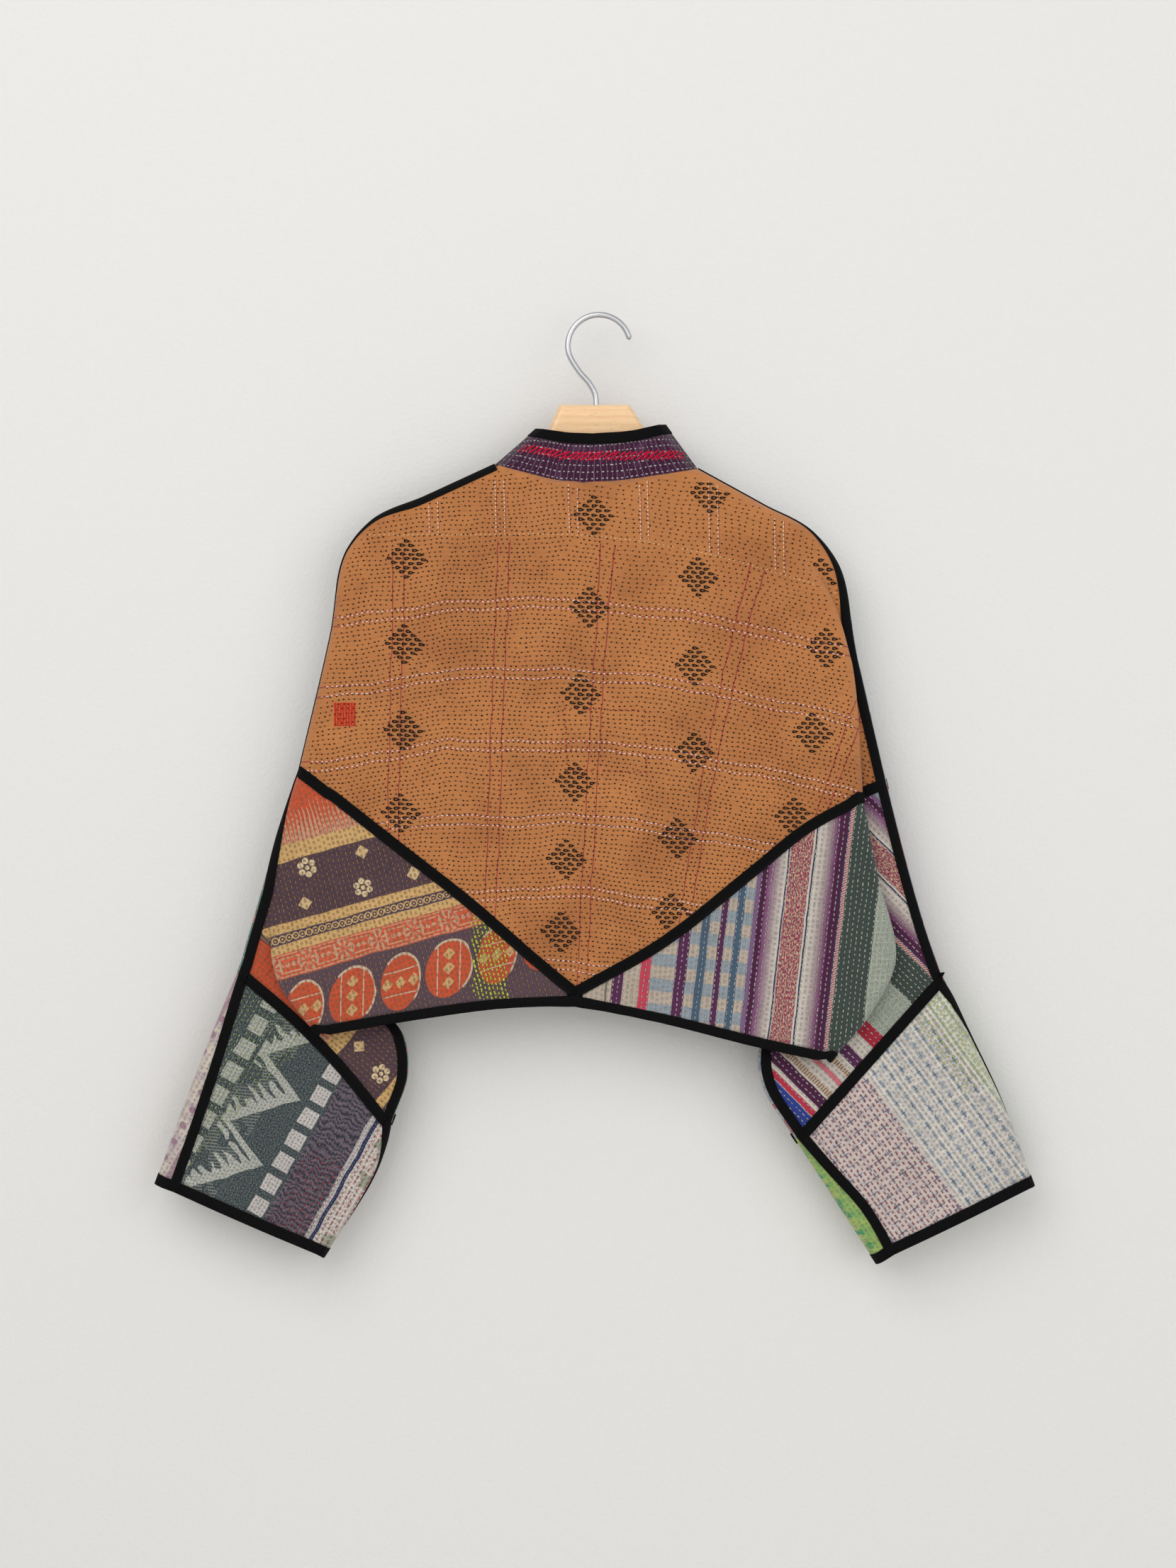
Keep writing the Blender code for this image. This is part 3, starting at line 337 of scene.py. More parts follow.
def round_edge(edge: Array, inward: Array, angles: Array, radius: float = EDGE_RADIUS) -> Array:
    """Points round an edge: angle 90 is flat on the back, 0 the silhouette and -90 flat on the front.

    Args:
        edge: the silhouette as x and z, one point for each row.
        inward: its unit normals.
        angles: the angle of each row; past a quarter turn the point moves on along the flat.
        radius: its distance from the edge's axis.

    Returns:
        The points in space.
    """
    past = np.clip(angles - 90, 0, None) - np.clip(-90 - angles, 0, None)
    turn = np.radians(angles - past)
    inset = EDGE_RADIUS - radius * np.cos(turn) + (radius + EDGE_RADIUS) / 2 * np.radians(np.abs(past))
    return deep(edge + inward * inset[:, None], radius * np.sin(turn))


def moved(points: Array, target: Array, distance: float) -> Array:
    """Points moved by a distance along the direction of their targets."""
    return points + unit(target - points) * distance


def refined(grid: Array, fine: int) -> Array:
    """A grid with its columns made denser on smooth curves."""
    count = grid.shape[1] - 1
    dense = through(np.swapaxes(grid, 0, 1), np.arange(count + 1), steps(count * fine, 0, count))
    return np.swapaxes(dense, 0, 1)


def waves(plane: Array) -> Array:
    """Soft hanging ripples as the solids have them: some that grow down the body, and a slanting swell."""
    x = plane[..., 0]
    z = plane[..., 1]
    hanging = np.sin(x / 31.0 + 0.6 * np.sin(z / 90.0)) * np.clip((-z - 190) / 220, 0, 1)
    crossing = 0.5 * np.sin((0.8 * x + z) / 47.0)
    return WAVE_DEPTH * (hanging + crossing)


def puckers(plane: Array) -> Array:
    """The fine uneven relief of quilted cloth, in millimetres: short ripples between the stitch rows."""
    x = plane[..., 0]
    z = plane[..., 1]
    drift = 5.0 * np.sin(x / 53.0 + 1.3) + 4.0 * np.sin(z / 37.0)
    short = np.sin((x + drift) / 3.9 + 0.9 * np.sin(z / 19.0)) * np.sin(z / 23.0 + 0.7 * np.sin(x / 27.0))
    cross = np.sin((z - drift) / 5.1 + 0.8 * np.sin(x / 17.0)) * np.sin(x / 29.0 + 0.5)
    broad = np.sin((x - 0.6 * z) / 21.0) * np.sin((x + 1.7 * z) / 63.0 + 0.4)
    return 0.34 * short + 0.34 * cross + 0.6 * broad


@dataclass
class Side:
    """One half of the jacket, as fine grids of points for its yoke, side panel, sleeve and cuff."""

    name: str
    table: dict = field(init=False)
    sign: int = field(init=False)

    def __post_init__(self) -> None:
        """Takes the side's lines and its sign from the table."""
        self.table = SIDES[self.name]
        self.sign = self.table["sign"]

    def line(self, region: str, name: str, rows: Array) -> Array:
        """One named line of a region, read at the rows."""
        return through(self.table[f"{region}_{name}"], SECTIONS[region], rows)

    def edge(self, region: str, rows: Array) -> Array:
        """The silhouette's edge, read at the rows."""
        return self.line(region, "edge", rows)

    def low_line(self, region: str, rows: Array) -> Array:
        """The sleeve's lower edge, read at the rows."""
        name = "underarm" if region == "forearm" else "cuff_inner"
        return through(self.table[name], SECTIONS[region], rows)

    def inward(self, region: str, rows: Array) -> Array:
        """Unit normals of the whole silhouette, read at the rows of one region."""
        order = tuple(SECTIONS)
        fine = steps(KEY_STEPS)
        line = np.concatenate([self.edge(name, fine[:-1]) for name in order])
        keys = np.concatenate([begin + fine[:-1] for begin in range(len(order))])
        return read_normals(line, self.sign, keys, order.index(region) + rows)

    def low_inward(self, region: str, rows: Array) -> Array:
        """The same for the sleeve's lower edge, from the hidden crease to the cuff."""
        fine = steps(KEY_STEPS)
        line = np.concatenate([self.low_line("forearm", fine[:-1]), self.low_line("cuff", fine)])
        keys = np.concatenate([fine[:-1], 1 + fine])
        at = rows if region == "forearm" else 1 + rows
        return read_normals(line, -self.sign, keys, at)

    def seam(self, region: str, rows: Array) -> Array:
        """The angle of the top seam round the silhouette's edge, for each row."""
        table = self.table["top_seam"]
        if region == "yoke":
            return eased(table["shoulder"], table["yoke"], (rows - 0.25) / 0.33)
        if region == "side":
            return eased(table["yoke"], table["side"], rows / 0.5)
        if region == "forearm":
            return np.full(len(rows), table["side"])
        return through(table["cuff"], CUFF_SECTIONS, rows)

    def low_seam(self, region: str, rows: Array) -> Array:
        """The angle of the underarm seam round the sleeve's lower edge."""
        table = self.table["low_seam"]
        if region == "forearm":
            return table["forearm"] * np.clip(rows / 0.5, 0, 1)
        return through(table["cuff"], CUFF_SECTIONS, rows)

    def opened(self, region: str, rows: Array) -> Array:
        """How far the pleat is open at each row, from 0 to 1."""
        return np.clip(through(self.table[region + "_pleat"], SECTIONS[region], rows), 0, 1)

    def flat_angle(self, seam: Array, face: Face) -> Array:
        """The angle where a face's flat ends: a quarter turn, or more where the seam lies on that flat."""
        return face.value * np.maximum(90.0, face.value * seam + FLAT_PAST)

    def edge_columns(self, edge: Array, inward: Array, seam: Array, face: Face) -> Array:
        """Columns from the flat of one face, round the edge, to the seam."""
        flat = self.flat_angle(seam, face)
        stop = seam + face.value * math.degrees(SEAM_GAP / EDGE_RADIUS)
        turns = [flat + (stop - flat) * step / EDGE_STEPS for step in range(1, EDGE_STEPS + 1)]
        return np.stack([round_edge(edge, inward, turn) for turn in turns], axis=1)

    def slanted(self, region: str, rows: Array, inward: Array) -> Array:
        """The normals leaned along the V seam near it, where no pleat hides the seam's end."""
        seam = np.array(self.table["v_seam"], float)
        run = unit(seam[-2] - seam[-1])
        near = (rows - 0.8) / 0.2 if region == "yoke" else 1 - rows / 0.35
        share = (np.clip(near, 0, 1) * (1 - self.opened(region, rows)))[:, None]
        leaned = run / (inward @ run)[:, None]
        return inward * (1 - share) + leaned * share

    def pleat(self, rows: Array, region: str, edge: Array, inward: Array) -> tuple[Array, Array, Array]:
        """The line where the flat of the body ends, and the columns from there to the edge's flat.

        Args:
            rows: the rows of the region, as shares.
            region: the yoke or the side panel.
            edge: the silhouette at the rows.
            inward: its unit normals.

        Returns:
            The line, the columns (folded behind the body where the pleat is open, and level where it is
            not), and how far the pleat is open at each row.
        """
        fold = self.line(region, "fold", rows)
        inner = self.line(region, "inner", rows)
        opened = self.opened(region, rows)[:, None]
        inset = edge + inward * EDGE_RADIUS
        flat_start = inset + inward * PLEAT_SPREAD
        fold_out = -side_normals(fold, self.sign)
        inner_out = -side_normals(inner, self.sign)
        overlap = np.clip(((fold - inner) * fold_out).sum(axis=1), 3.0, None)[:, None]
        bend = np.minimum(FOLD_RADIUS, overlap / 2 - 0.5)
        folded = [
            (fold, (BODY_DEPTH + MIDDLE_DEPTH) / 2),
            (fold - fold_out * bend, MIDDLE_DEPTH + 0.6),
            (inner + inner_out * bend, MIDDLE_DEPTH - 0.6),
            (inner, (MIDDLE_DEPTH + SLEEVE_DEPTH) / 2),
            (inner + inner_out * FOLD_RADIUS * 0.3, SLEEVE_DEPTH + 1.3),
            (inner + inner_out * FOLD_RADIUS, SLEEVE_DEPTH),
        ]
        for step in range(1, SLEEVE_COLUMNS):
            share = step / SLEEVE_COLUMNS
            folded.append((folded[5][0] * (1 - share) + inset * share, SLEEVE_DEPTH))
        folded.append((inset, SLEEVE_DEPTH))
        columns = []
        for index, (plane, depth) in enumerate(folded, 1):
            share = index / len(folded)
            level = flat_start * (1 - share) + inset * share
            mixed = plane * opened + level * (1 - opened)
            columns.append(deep(mixed, (depth * opened + SLEEVE_DEPTH * (1 - opened))[:, 0]))
        base = (fold - fold_out * FOLD_RADIUS) * opened + flat_start * (1 - opened)
        return base, np.stack(columns, axis=1), opened[:, 0]

    def body(
        self, plane: Array, columns: Array, middle: Array, outer: Array, fade: Array, opened: Array
    ) -> Array:
        """The broad part of a panel: deepest near the centre, and level at its edge where no pleat is open.

        Args:
            plane: the panel's points as x and z.
            columns: the columns as shares, from the centre outwards.
            middle, outer: the depth of each row at the centre and at the edge.
            fade: how far the ripples show in each row, from 0 to 1.
            opened: how far the pleat is open at each row.

        Returns:
            The points in space.
        """
        level = columns**2 * (3 - 2 * columns)
        share = columns[None, :] ** 2.4 * opened[:, None] + level[None, :] * (1 - opened[:, None])
        depth = middle[:, None] * (1 - share) + outer[:, None] * share
        held = fade[:, None] * (1 - columns[None, :] ** 4)
        return deep(plane, depth + waves(plane) * held + puckers(plane) * held)

    def joined(self, body: Array, pleat: Array, turn: Array, face: Face) -> Array:
        """Joins the columns, turned to the front for that face, and makes the pleat's columns denser."""
        flip = np.array([1.0, face.value, 1.0])
        rest = np.concatenate([body[:, -1:] * flip, pleat * flip, turn], axis=1)
        dense = refined(rest, FINE)
        return np.concatenate([body[:, :-1] * flip, dense], axis=1)

    def border(self, name: str, end: Array, columns: Array, lift: float = 0.0) -> Array:
        """The V seam or the hem at the columns, ended at the pleat's base."""
        line = along(self.table[name], steps(LINE_STEPS)) + np.array([0.0, lift])
        return along(ended(line, end), columns)

    def yoke(self, face: Face, count: int = YOKE_ROWS) -> Array:
        """Rows from the neck to the V seam.

        Args:
            face: the back or the front.
            count: how many steps there are between the rows.

        Returns:
            The grid, rows down and columns from the centre to the top seam.
        """
        rows = steps(count)
        columns = steps(BODY_COLUMNS, 0.0 if face is Face.BACK else FRONT_SHARE)
        edge = self.edge("yoke", rows)
        neck_line = np.array(self.table[face.word + "_neck"], float)
        inward = self.inward("yoke", rows)
        neck_run = unit(neck_line[-2] - neck_line[-1])
        blend = np.clip(1 - rows / 0.06, 0, 1)[:, None]
        slanted = neck_run / (neck_run @ inward[0])
        inward = self.slanted("yoke", rows, inward * (1 - blend) + slanted * blend)
        base, pleat, opened = self.pleat(rows, "yoke", edge, inward)
        neck_line[-1] = base[0]
        neck = along(neck_line, steps(BODY_COLUMNS))
        v_seam = self.border("v_seam", base[-1], columns)
        centre = along([neck[0], v_seam[0]], rows)
        plane = coons(neck, v_seam, centre, base)
        outer = eased(SLEEVE_DEPTH, BODY_DEPTH, opened)
        middle = eased(NECK_DEPTH, CENTRE_DEPTH, rows / 0.4)
        body = self.body(plane, columns, middle, outer, np.clip(rows / 0.15, 0, 1), opened)
        turn = self.edge_columns(edge, inward, self.seam("yoke", rows), face)
        return self.joined(body, pleat, turn, face)

    def side_panel(self, face: Face) -> Array:
        """The same from the V seam to the hem's tape, over the whole width of the side panel."""
        rows = steps(SIDE_ROWS)
        columns = steps(BODY_COLUMNS, TIP_SHARE if face is Face.BACK else FRONT_TIP_SHARE)
        edge = self.edge("side", rows)
        inward = self.slanted("side", rows, self.inward("side", rows))
        base, pleat, opened = self.pleat(rows, "side", edge, inward)
        v_seam = self.border("v_seam", base[0], columns)
        hem = self.border("hem", base[-1], columns, TAPE_WIDTH)
        tip = along([v_seam[0], hem[0]], rows)
        plane = coons(v_seam, hem, tip, base)
        outer = eased(SLEEVE_DEPTH, BODY_DEPTH, opened)
        middle = np.full(len(rows), CENTRE_DEPTH)
        body = self.body(plane, columns, middle, outer, np.ones(len(rows)), opened)
        turn = self.edge_columns(edge, inward, self.seam("side", rows), face)
        return self.joined(body, pleat, turn, face)

    def tube(self, region: str, rows: Array, face: Face) -> Array:
        """Rows of a sleeve: round the lower edge, across the flat, and round the top edge to its seam.

        Args:
            region: the forearm or the cuff.
            rows: its rows, as shares.
            face: the back or the front.

        Returns:
            The grid, rows down the sleeve and columns from the underarm seam to the top seam.
        """
        edge = self.edge(region, rows)
        low = self.low_line(region, rows)
        inward = self.inward(region, rows)
        low_inward = self.low_inward(region, rows)
        stop = self.low_seam(region, rows) + face.value * math.degrees(SEAM_GAP / EDGE_RADIUS)
        flat = self.flat_angle(self.low_seam(region, rows), face)
        top_flat = self.flat_angle(self.seam(region, rows), face)
        bulge = CUFF_BULGE * (rows if region == "cuff" else 0 * rows)
        bow = self.table["forearm_bow"] * (rows if region == "forearm" else 1 - rows)
        flip = np.array([1.0, face.value, 1.0])
        turns = [stop + (flat - stop) * step / LOW_STEPS for step in range(LOW_STEPS + 1)]
        columns = [round_edge(low, low_inward, turn) for turn in turns]
        first = low + low_inward * (EDGE_RADIUS * (1 + np.radians(np.abs(flat) - 90)))[:, None]
        last = edge + inward * (EDGE_RADIUS * (1 + np.radians(np.abs(top_flat) - 90)))[:, None]
        across = unit(last - first)
        up = np.stack([-across[:, 1], across[:, 0]], axis=1) * self.sign
        for step in range(1, SLEEVE_COLUMNS):
            share = step / (SLEEVE_COLUMNS - 1)
            swell = math.sin(math.pi * share)
            plane = first * (1 - share) + last * share + up * (bow * swell)[:, None]
            columns.append(deep(plane, SLEEVE_DEPTH + bulge * swell) * flip)
        turn = self.edge_columns(edge, inward, self.seam(region, rows), face)
        return np.concatenate([np.stack(columns, axis=1), turn], axis=1)

    def sleeve(self, face: Face) -> Array:
        """The side panel's rows beyond the hidden crease, joined smoothly to its last row."""
        rows = steps(FOREARM_ROWS)
        grid = refined(self.tube("forearm", rows, face), FINE)
        above = self.side_panel(face)[-1, -grid.shape[1] :]
        ease = np.clip(1 - rows / 0.3, 0, 1)[:, None, None] ** 2
        grid = grid + (above - grid[0])[None] * ease
        relief = puckers(grid[..., [0, 2]]) * np.sin(np.pi * rows)[:, None] * self.held(grid.shape[1], FINE)
        grid[..., 1] -= relief * face.value
        return grid[1:]

    def held(self, columns: int, fine: int) -> Array:
        """Zero at a sleeve's two seams, and one on its flat."""
        place = np.arange(columns)
        low = place / (LOW_STEPS * fine)
        top = (columns - 1 - place) / (EDGE_STEPS * fine)
        return np.clip(np.minimum(low, top), 0, 1) ** 2

    def cuff(self, face: Face) -> Array:
        """The cuff, its last rows drawn back by the width of the tape on its hem."""
        rows = steps(CUFF_ROWS)
        grid = refined(self.tube("cuff", rows, face), CUFF_FINE)
        drawn = unit(grid[-2] - grid[-1])
        share = np.clip((rows - 0.8) / 0.2, 0, 1)[:, None, None]
        grid = grid + drawn[None] * TAPE_WIDTH * share
        relief = puckers(grid[..., [0, 2]]) + 1.2 * np.sin(grid[..., 0] / 23.0 + grid[..., 2] / 31.0)
        held = self.held(grid.shape[1], CUFF_FINE)
        grid[..., 1] -= relief * np.sin(np.pi * rows)[:, None] * held * face.value
        return grid


def line_bow(x: Array) -> Array:
    """How far the back's level lines drop at each x: flat on the left, falling to the right."""
    past = np.clip(x + 30, 0, None)
    return 0.13 * past + 0.0002 * past**2 - 3.0 * np.sin(x / 70.0)


def left_bow(x: Array, drop: Array) -> Array:
    """How far the upper level lines also drop at the left edge, where the cloth is pulled round the arm."""
    return LEFT_FALL * np.clip(LEFT_FALL_AT - x, 0, None) * np.clip((620 - drop) / 200, 0.2, 1)


def row_wander(x: Array, drop: Array) -> Array:
    """How far a hand-sewn row strays from its line."""
    slow = 1.3 * np.sin(x / 27.0 + drop / 61.0) + 0.8 * np.sin(x / 11.3 - drop / 23.0)
    return slow + 0.35 * np.sin(x / 4.7 + drop / 7.9)


def ochre_flat(x: Array, drop: Array) -> tuple[Array, Array]:
    """The flat coordinates of the ochre cloth at a place on the jacket."""
    right = np.clip(x, 0, None)
    across = x + (drop - FLARE_AT) * FLARE * right
    return across, drop - line_bow(x) - left_bow(x, drop) + row_wander(x, drop)


def ochre_place(u: Array, v: Array) -> tuple[Array, Array]:
    """The place on the jacket, as x and z, of a point of the ochre cloth, found in four steps."""
    x = u.copy()
    drop = v.copy()
    for _ in range(4):
        drop = v + line_bow(x) + left_bow(x, drop) - row_wander(x, drop)
        x = u / (1 + (drop - FLARE_AT) * FLARE * (x > 0))
    return x, -drop


def ended(line: Array, end: Array) -> Array:
    """The line without its points that lie further out than the end, and then the end."""
    return np.concatenate([line[np.abs(line[:, 0]) < abs(end[0]) - SEAM_ROOM], end[None]])


def placed(name: str, data: bpy.types.ID) -> bpy.types.Object:
    """A new object in the scene."""
    piece = bpy.data.objects.new(name, data)
    bpy.context.scene.collection.objects.link(piece)
    return piece


def grid_faces(rows: int, columns: int, offset: int = 0, closed: bool = False) -> Array:
    """Quads between the points of a grid, row after row, as an array of four indices each."""
    row, column = np.meshgrid(np.arange(rows - 1), np.arange(columns - (not closed)), indexing="ij")
    a = offset + row * columns + column
    b = offset + row * columns + (column + 1) % columns
    return np.stack([a, b, b + columns, a + columns], axis=-1).reshape(-1, 4)


@dataclass
class Shell:
    """A thin piece of cloth: its points, its quads and where each point lies on the flat cloth."""

    name: str
    points: Array
    faces: Array
    flat: Array
    thickness: float = WALL

    def build(self, material: bpy.types.Material, replaces: Sequence[str], slot: str) -> bpy.types.Object:
        """Makes the mesh with its flat coordinates, gives it a wall, and binds it to the frame.

        Args:
            material: its finish.
            replaces: the solids that it stands for.
            slot: the name of its material slot; not used.

        Returns:
            The piece.
        """
        mesh = bpy.data.meshes.new(self.name)
        mesh.from_pydata((self.points * MM).tolist(), [], self.faces.tolist())
        layer = mesh.uv_layers.new(name="flat")
        corners = np.empty(len(mesh.loops), np.int32)
        mesh.loops.foreach_get("vertex_index", corners)
        layer.data.foreach_set("uv", (self.flat[corners] * MM).astype(np.float32).ravel())
        mesh.shade_smooth()
        mesh.materials.append(material)
        piece = placed(self.name, mesh)
        wall = piece.modifiers.new("Wall", "SOLIDIFY")
        wall.thickness = self.thickness * MM
        wall.offset = 0.0
        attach(piece, "root")
        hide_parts(*replaces)
        LOG.info("%s: %d points", self.name, len(self.points))
        return piece

    @property
    def area(self) -> float:
        """The area of the middle surface, in square metres."""
        corner = self.points[self.faces]
        first = np.cross(corner[:, 1] - corner[:, 0], corner[:, 2] - corner[:, 0])
        second = np.cross(corner[:, 2] - corner[:, 0], corner[:, 3] - corner[:, 0])
        return float((np.linalg.norm(first, axis=1) + np.linalg.norm(second, axis=1)).sum() / 2 * MM * MM)


def plain_flat(points: Array) -> Array:
    """Flat coordinates that are simply x and the drop below the origin."""
    return np.stack([points[..., 0], -points[..., 2]], axis=-1)


def grid_shell(name: str, grid: Array, flat: Array, thickness: float = WALL, closed: bool = False) -> Shell:
    """A shell from one grid of points and its flat coordinates."""
    faces = grid_faces(*grid.shape[:2], closed=closed)
    return Shell(name, grid.reshape(-1, 3), faces, flat.reshape(-1, 2), thickness)


def operation(kind: str, swapped: bool = False) -> Callable[..., "Socket"]:
    """A method of Socket that makes one Math node of this kind, with its operands swapped if asked."""

    def method(self: "Socket", *others: "Number") -> "Socket":
        """The node's value."""
        return self.graph.math(kind, *((*others, self) if swapped else (self, *others)))

    return method


class Socket:
    """A shader value with arithmetic, so that a pattern reads like its formula.

    near(centre, reach) is one where the value is that near the centre, and below and above are one on that
    side of a limit. least and most are the smaller and the larger of two values.
    """

    def __init__(self, graph: "Graph", socket: bpy.types.NodeSocket) -> None:
        """Keeps the graph, so that a formula's nodes are made where its values are."""
        self.graph = graph
        self.socket = socket

    __add__ = __radd__ = operation("ADD")
    __sub__ = operation("SUBTRACT")
    __rsub__ = operation("SUBTRACT", swapped=True)
    __mul__ = __rmul__ = operation("MULTIPLY")
    __truediv__ = operation("DIVIDE")
    fract = operation("FRACT")
    floor = operation("FLOOR")
    sin = operation("SINE")
    abs = operation("ABSOLUTE")
    root = operation("SQRT")
    near = operation("COMPARE")
    below = operation("LESS_THAN")
    above = operation("GREATER_THAN")
    least = operation("MINIMUM")
    most = operation("MAXIMUM")

    def soft(self, start: float, stop: float) -> "Socket":
        """A smooth step from 0 at start to 1 at stop."""
        return self.graph.ramp(self, start, stop)


Number = Socket | float
Colour = Socket | tuple[float, float, float]


def srgb(*screen: int) -> tuple[float, float, float]:
    """A screen colour, as red, green and blue from 0 to 255, as linear light."""
    return tuple(v / 255 / 12.92 if v < 11 else ((v / 255 + 0.055) / 1.055) ** 2.4 for v in screen)


class Graph:
    """Makes nodes in one tree."""

    def __init__(self, tree: bpy.types.NodeTree) -> None:
        """Starts with no node of its own."""
        self.tree = tree
        self.count = 0

    def node(self, kind: str, **settings: object) -> bpy.types.Node:
        """A node of this kind with its settings, placed in a tidy row."""
        made = self.tree.nodes.new(kind)
        made.location = (180 * (self.count % 14), -200 * (self.count // 14))
        self.count += 1
        for name, value in settings.items():
            setattr(made, name, value)
        return made

    def put(self, target: bpy.types.NodeSocket, value: object) -> None:
        """Links a socket, or sets a constant."""
        if isinstance(value, Socket):
            self.tree.links.new(value.socket, target)
        elif isinstance(value, tuple) and len(value) == 3 and target.type == "RGBA":
            target.default_value = (*value, 1.0)
        else:
            target.default_value = value

    def give(self, node: bpy.types.Node, **values: object) -> None:
        """Puts values into a node's inputs by their names, with _ for a space."""
        for name, value in values.items():
            self.put(node.inputs[name.replace("_", " ")], value)

    def math(self, operation: str, *values: Number) -> Socket:
        """One Math node's value."""
        made = self.node("ShaderNodeMath", operation=operation)
        for target, value in zip(made.inputs, values):
            self.put(target, value)
        return Socket(self, made.outputs[0])

    def ramp(self, value: Number, start: float, stop: float, low: float = 0.0, high: float = 1.0) -> Socket:
        """A smooth step from low to high while the value goes from start to stop."""
        made = self.node("ShaderNodeMapRange", interpolation_type="SMOOTHSTEP")
        self.give(made, Value=value, From_Min=start, From_Max=stop, To_Min=low, To_Max=high)
        return Socket(self, made.outputs["Result"])

    def mix(self, mask: Number, under: Colour, over: Colour, blend: str = "MIX") -> Socket:
        """One colour over another where the mask is one."""
        made = self.node("ShaderNodeMix", data_type="RGBA", blend_type=blend)
        for index, value in ((0, mask), (6, under), (7, over)):
            self.put(made.inputs[index], value)
        return Socket(self, made.outputs[2])

    def shade(self, value: Number) -> Socket:
        """A grey from one value."""
        made = self.node("ShaderNodeCombineColor")
        for target in made.inputs[:3]:
            self.put(target, value)
        return Socket(self, made.outputs[0])

    def point(self, x: Number, y: Number, z: Number = 0.0) -> Socket:
        """A vector from its parts."""
        made = self.node("ShaderNodeCombineXYZ")
        for target, value in zip(made.inputs, (x, y, z)):
            self.put(target, value)
        return Socket(self, made.outputs[0])

    def split(self, vector: Socket, count: int) -> list[Socket]:
        """The first parts of a vector in metres, in millimetres."""
        made = self.node("ShaderNodeSeparateXYZ")
        self.put(made.inputs[0], vector)
        return [Socket(self, part) * 1000.0 for part in made.outputs[:count]]

    def flat(self) -> list[Socket]:
        """The place on the flat cloth, across and down in millimetres."""
        return self.split(Socket(self, self.node("ShaderNodeUVMap", uv_map="flat").outputs[0]), 2)

    def place(self) -> Socket:
        """The place on the object, in metres."""
        return Socket(self, self.node("ShaderNodeTexCoord").outputs["Object"])

    def noise(self, vector: Socket, scale: float, detail: float = 2.0, rough: float = 0.5) -> Socket:
        """Smooth noise from 0 to 1."""
        made = self.node("ShaderNodeTexNoise", noise_dimensions="3D")
        self.give(made, Vector=vector, Scale=scale, Detail=detail, Roughness=rough)
        return Socket(self, made.outputs["Fac"])

    def chance(self, x: Number, y: Number = 0.0) -> Socket:
        """A value from 0 to 1 that stays the same for the same numbers."""
        made = self.node("ShaderNodeTexWhiteNoise", noise_dimensions="2D")
        self.give(made, Vector=self.point(x, y))
        return Socket(self, made.outputs["Value"])

    def group(self, tree: bpy.types.NodeTree, **inputs: object) -> dict[str, Socket]:
        """A shared group with its inputs, and its outputs by name."""
        made = self.node("ShaderNodeGroup", node_tree=tree)
        self.give(made, **inputs)
        return {item.name: Socket(self, item) for item in made.outputs}

    def bump(self, shader: bpy.types.Node, height: Socket, depth: float) -> None:
        """Bends a shader's normal by a height that is this many millimetres deep for each one."""
        made = self.node("ShaderNodeBump")
        self.give(made, Distance=depth * MM, Height=height)
        self.tree.links.new(made.outputs[0], shader.inputs["Normal"])


@dataclass(frozen=True)
class Finish:
    """A material by its name, with the ending that its kind of finish has."""

    name: str
    ending: ClassVar[str] = "_finish"

    def build(self) -> bpy.types.Material:
        """The material, made and dressed on its first use."""
        found = bpy.data.materials.get(self.name + self.ending)
        if found:
            return found
        made = bpy.data.materials.new(self.name + self.ending)
        made.use_nodes = True
        self.dress(Graph(made.node_tree), made.node_tree.nodes["Principled BSDF"])
        return made

    def dress(self, graph: Graph, shader: bpy.types.Node) -> None:
        """Leaves the shader plain: each finish has its own."""


@dataclass(frozen=True)
class GroupSpec:
    """A shared node group: its name, the names of its sockets, and the formula inside it."""

    name: str
    inputs: tuple[str, ...]
    outputs: tuple[str, ...]
    formula: Callable[..., dict[str, Socket]]

    def tree(self) -> bpy.types.NodeTree:
        """The group, made on its first use."""
        found = bpy.data.node_groups.get(self.name)
        if found:
            return found
        tree = bpy.data.node_groups.new(self.name, "ShaderNodeTree")
        for item in self.inputs:
            tree.interface.new_socket(item, in_out="INPUT", socket_type="NodeSocketFloat")
        for item in self.outputs:
            tree.interface.new_socket(item, in_out="OUTPUT", socket_type="NodeSocketFloat")
        graph = Graph(tree)
        start = graph.node("NodeGroupInput")
        stop = graph.node("NodeGroupOutput")
        items = [item for item in start.outputs if item.name]
        given = {item.name.replace(" ", "_").lower(): Socket(graph, item) for item in items}
        for name, value in self.formula(graph, **given).items():
            graph.put(stop.inputs[name], value)
        return tree


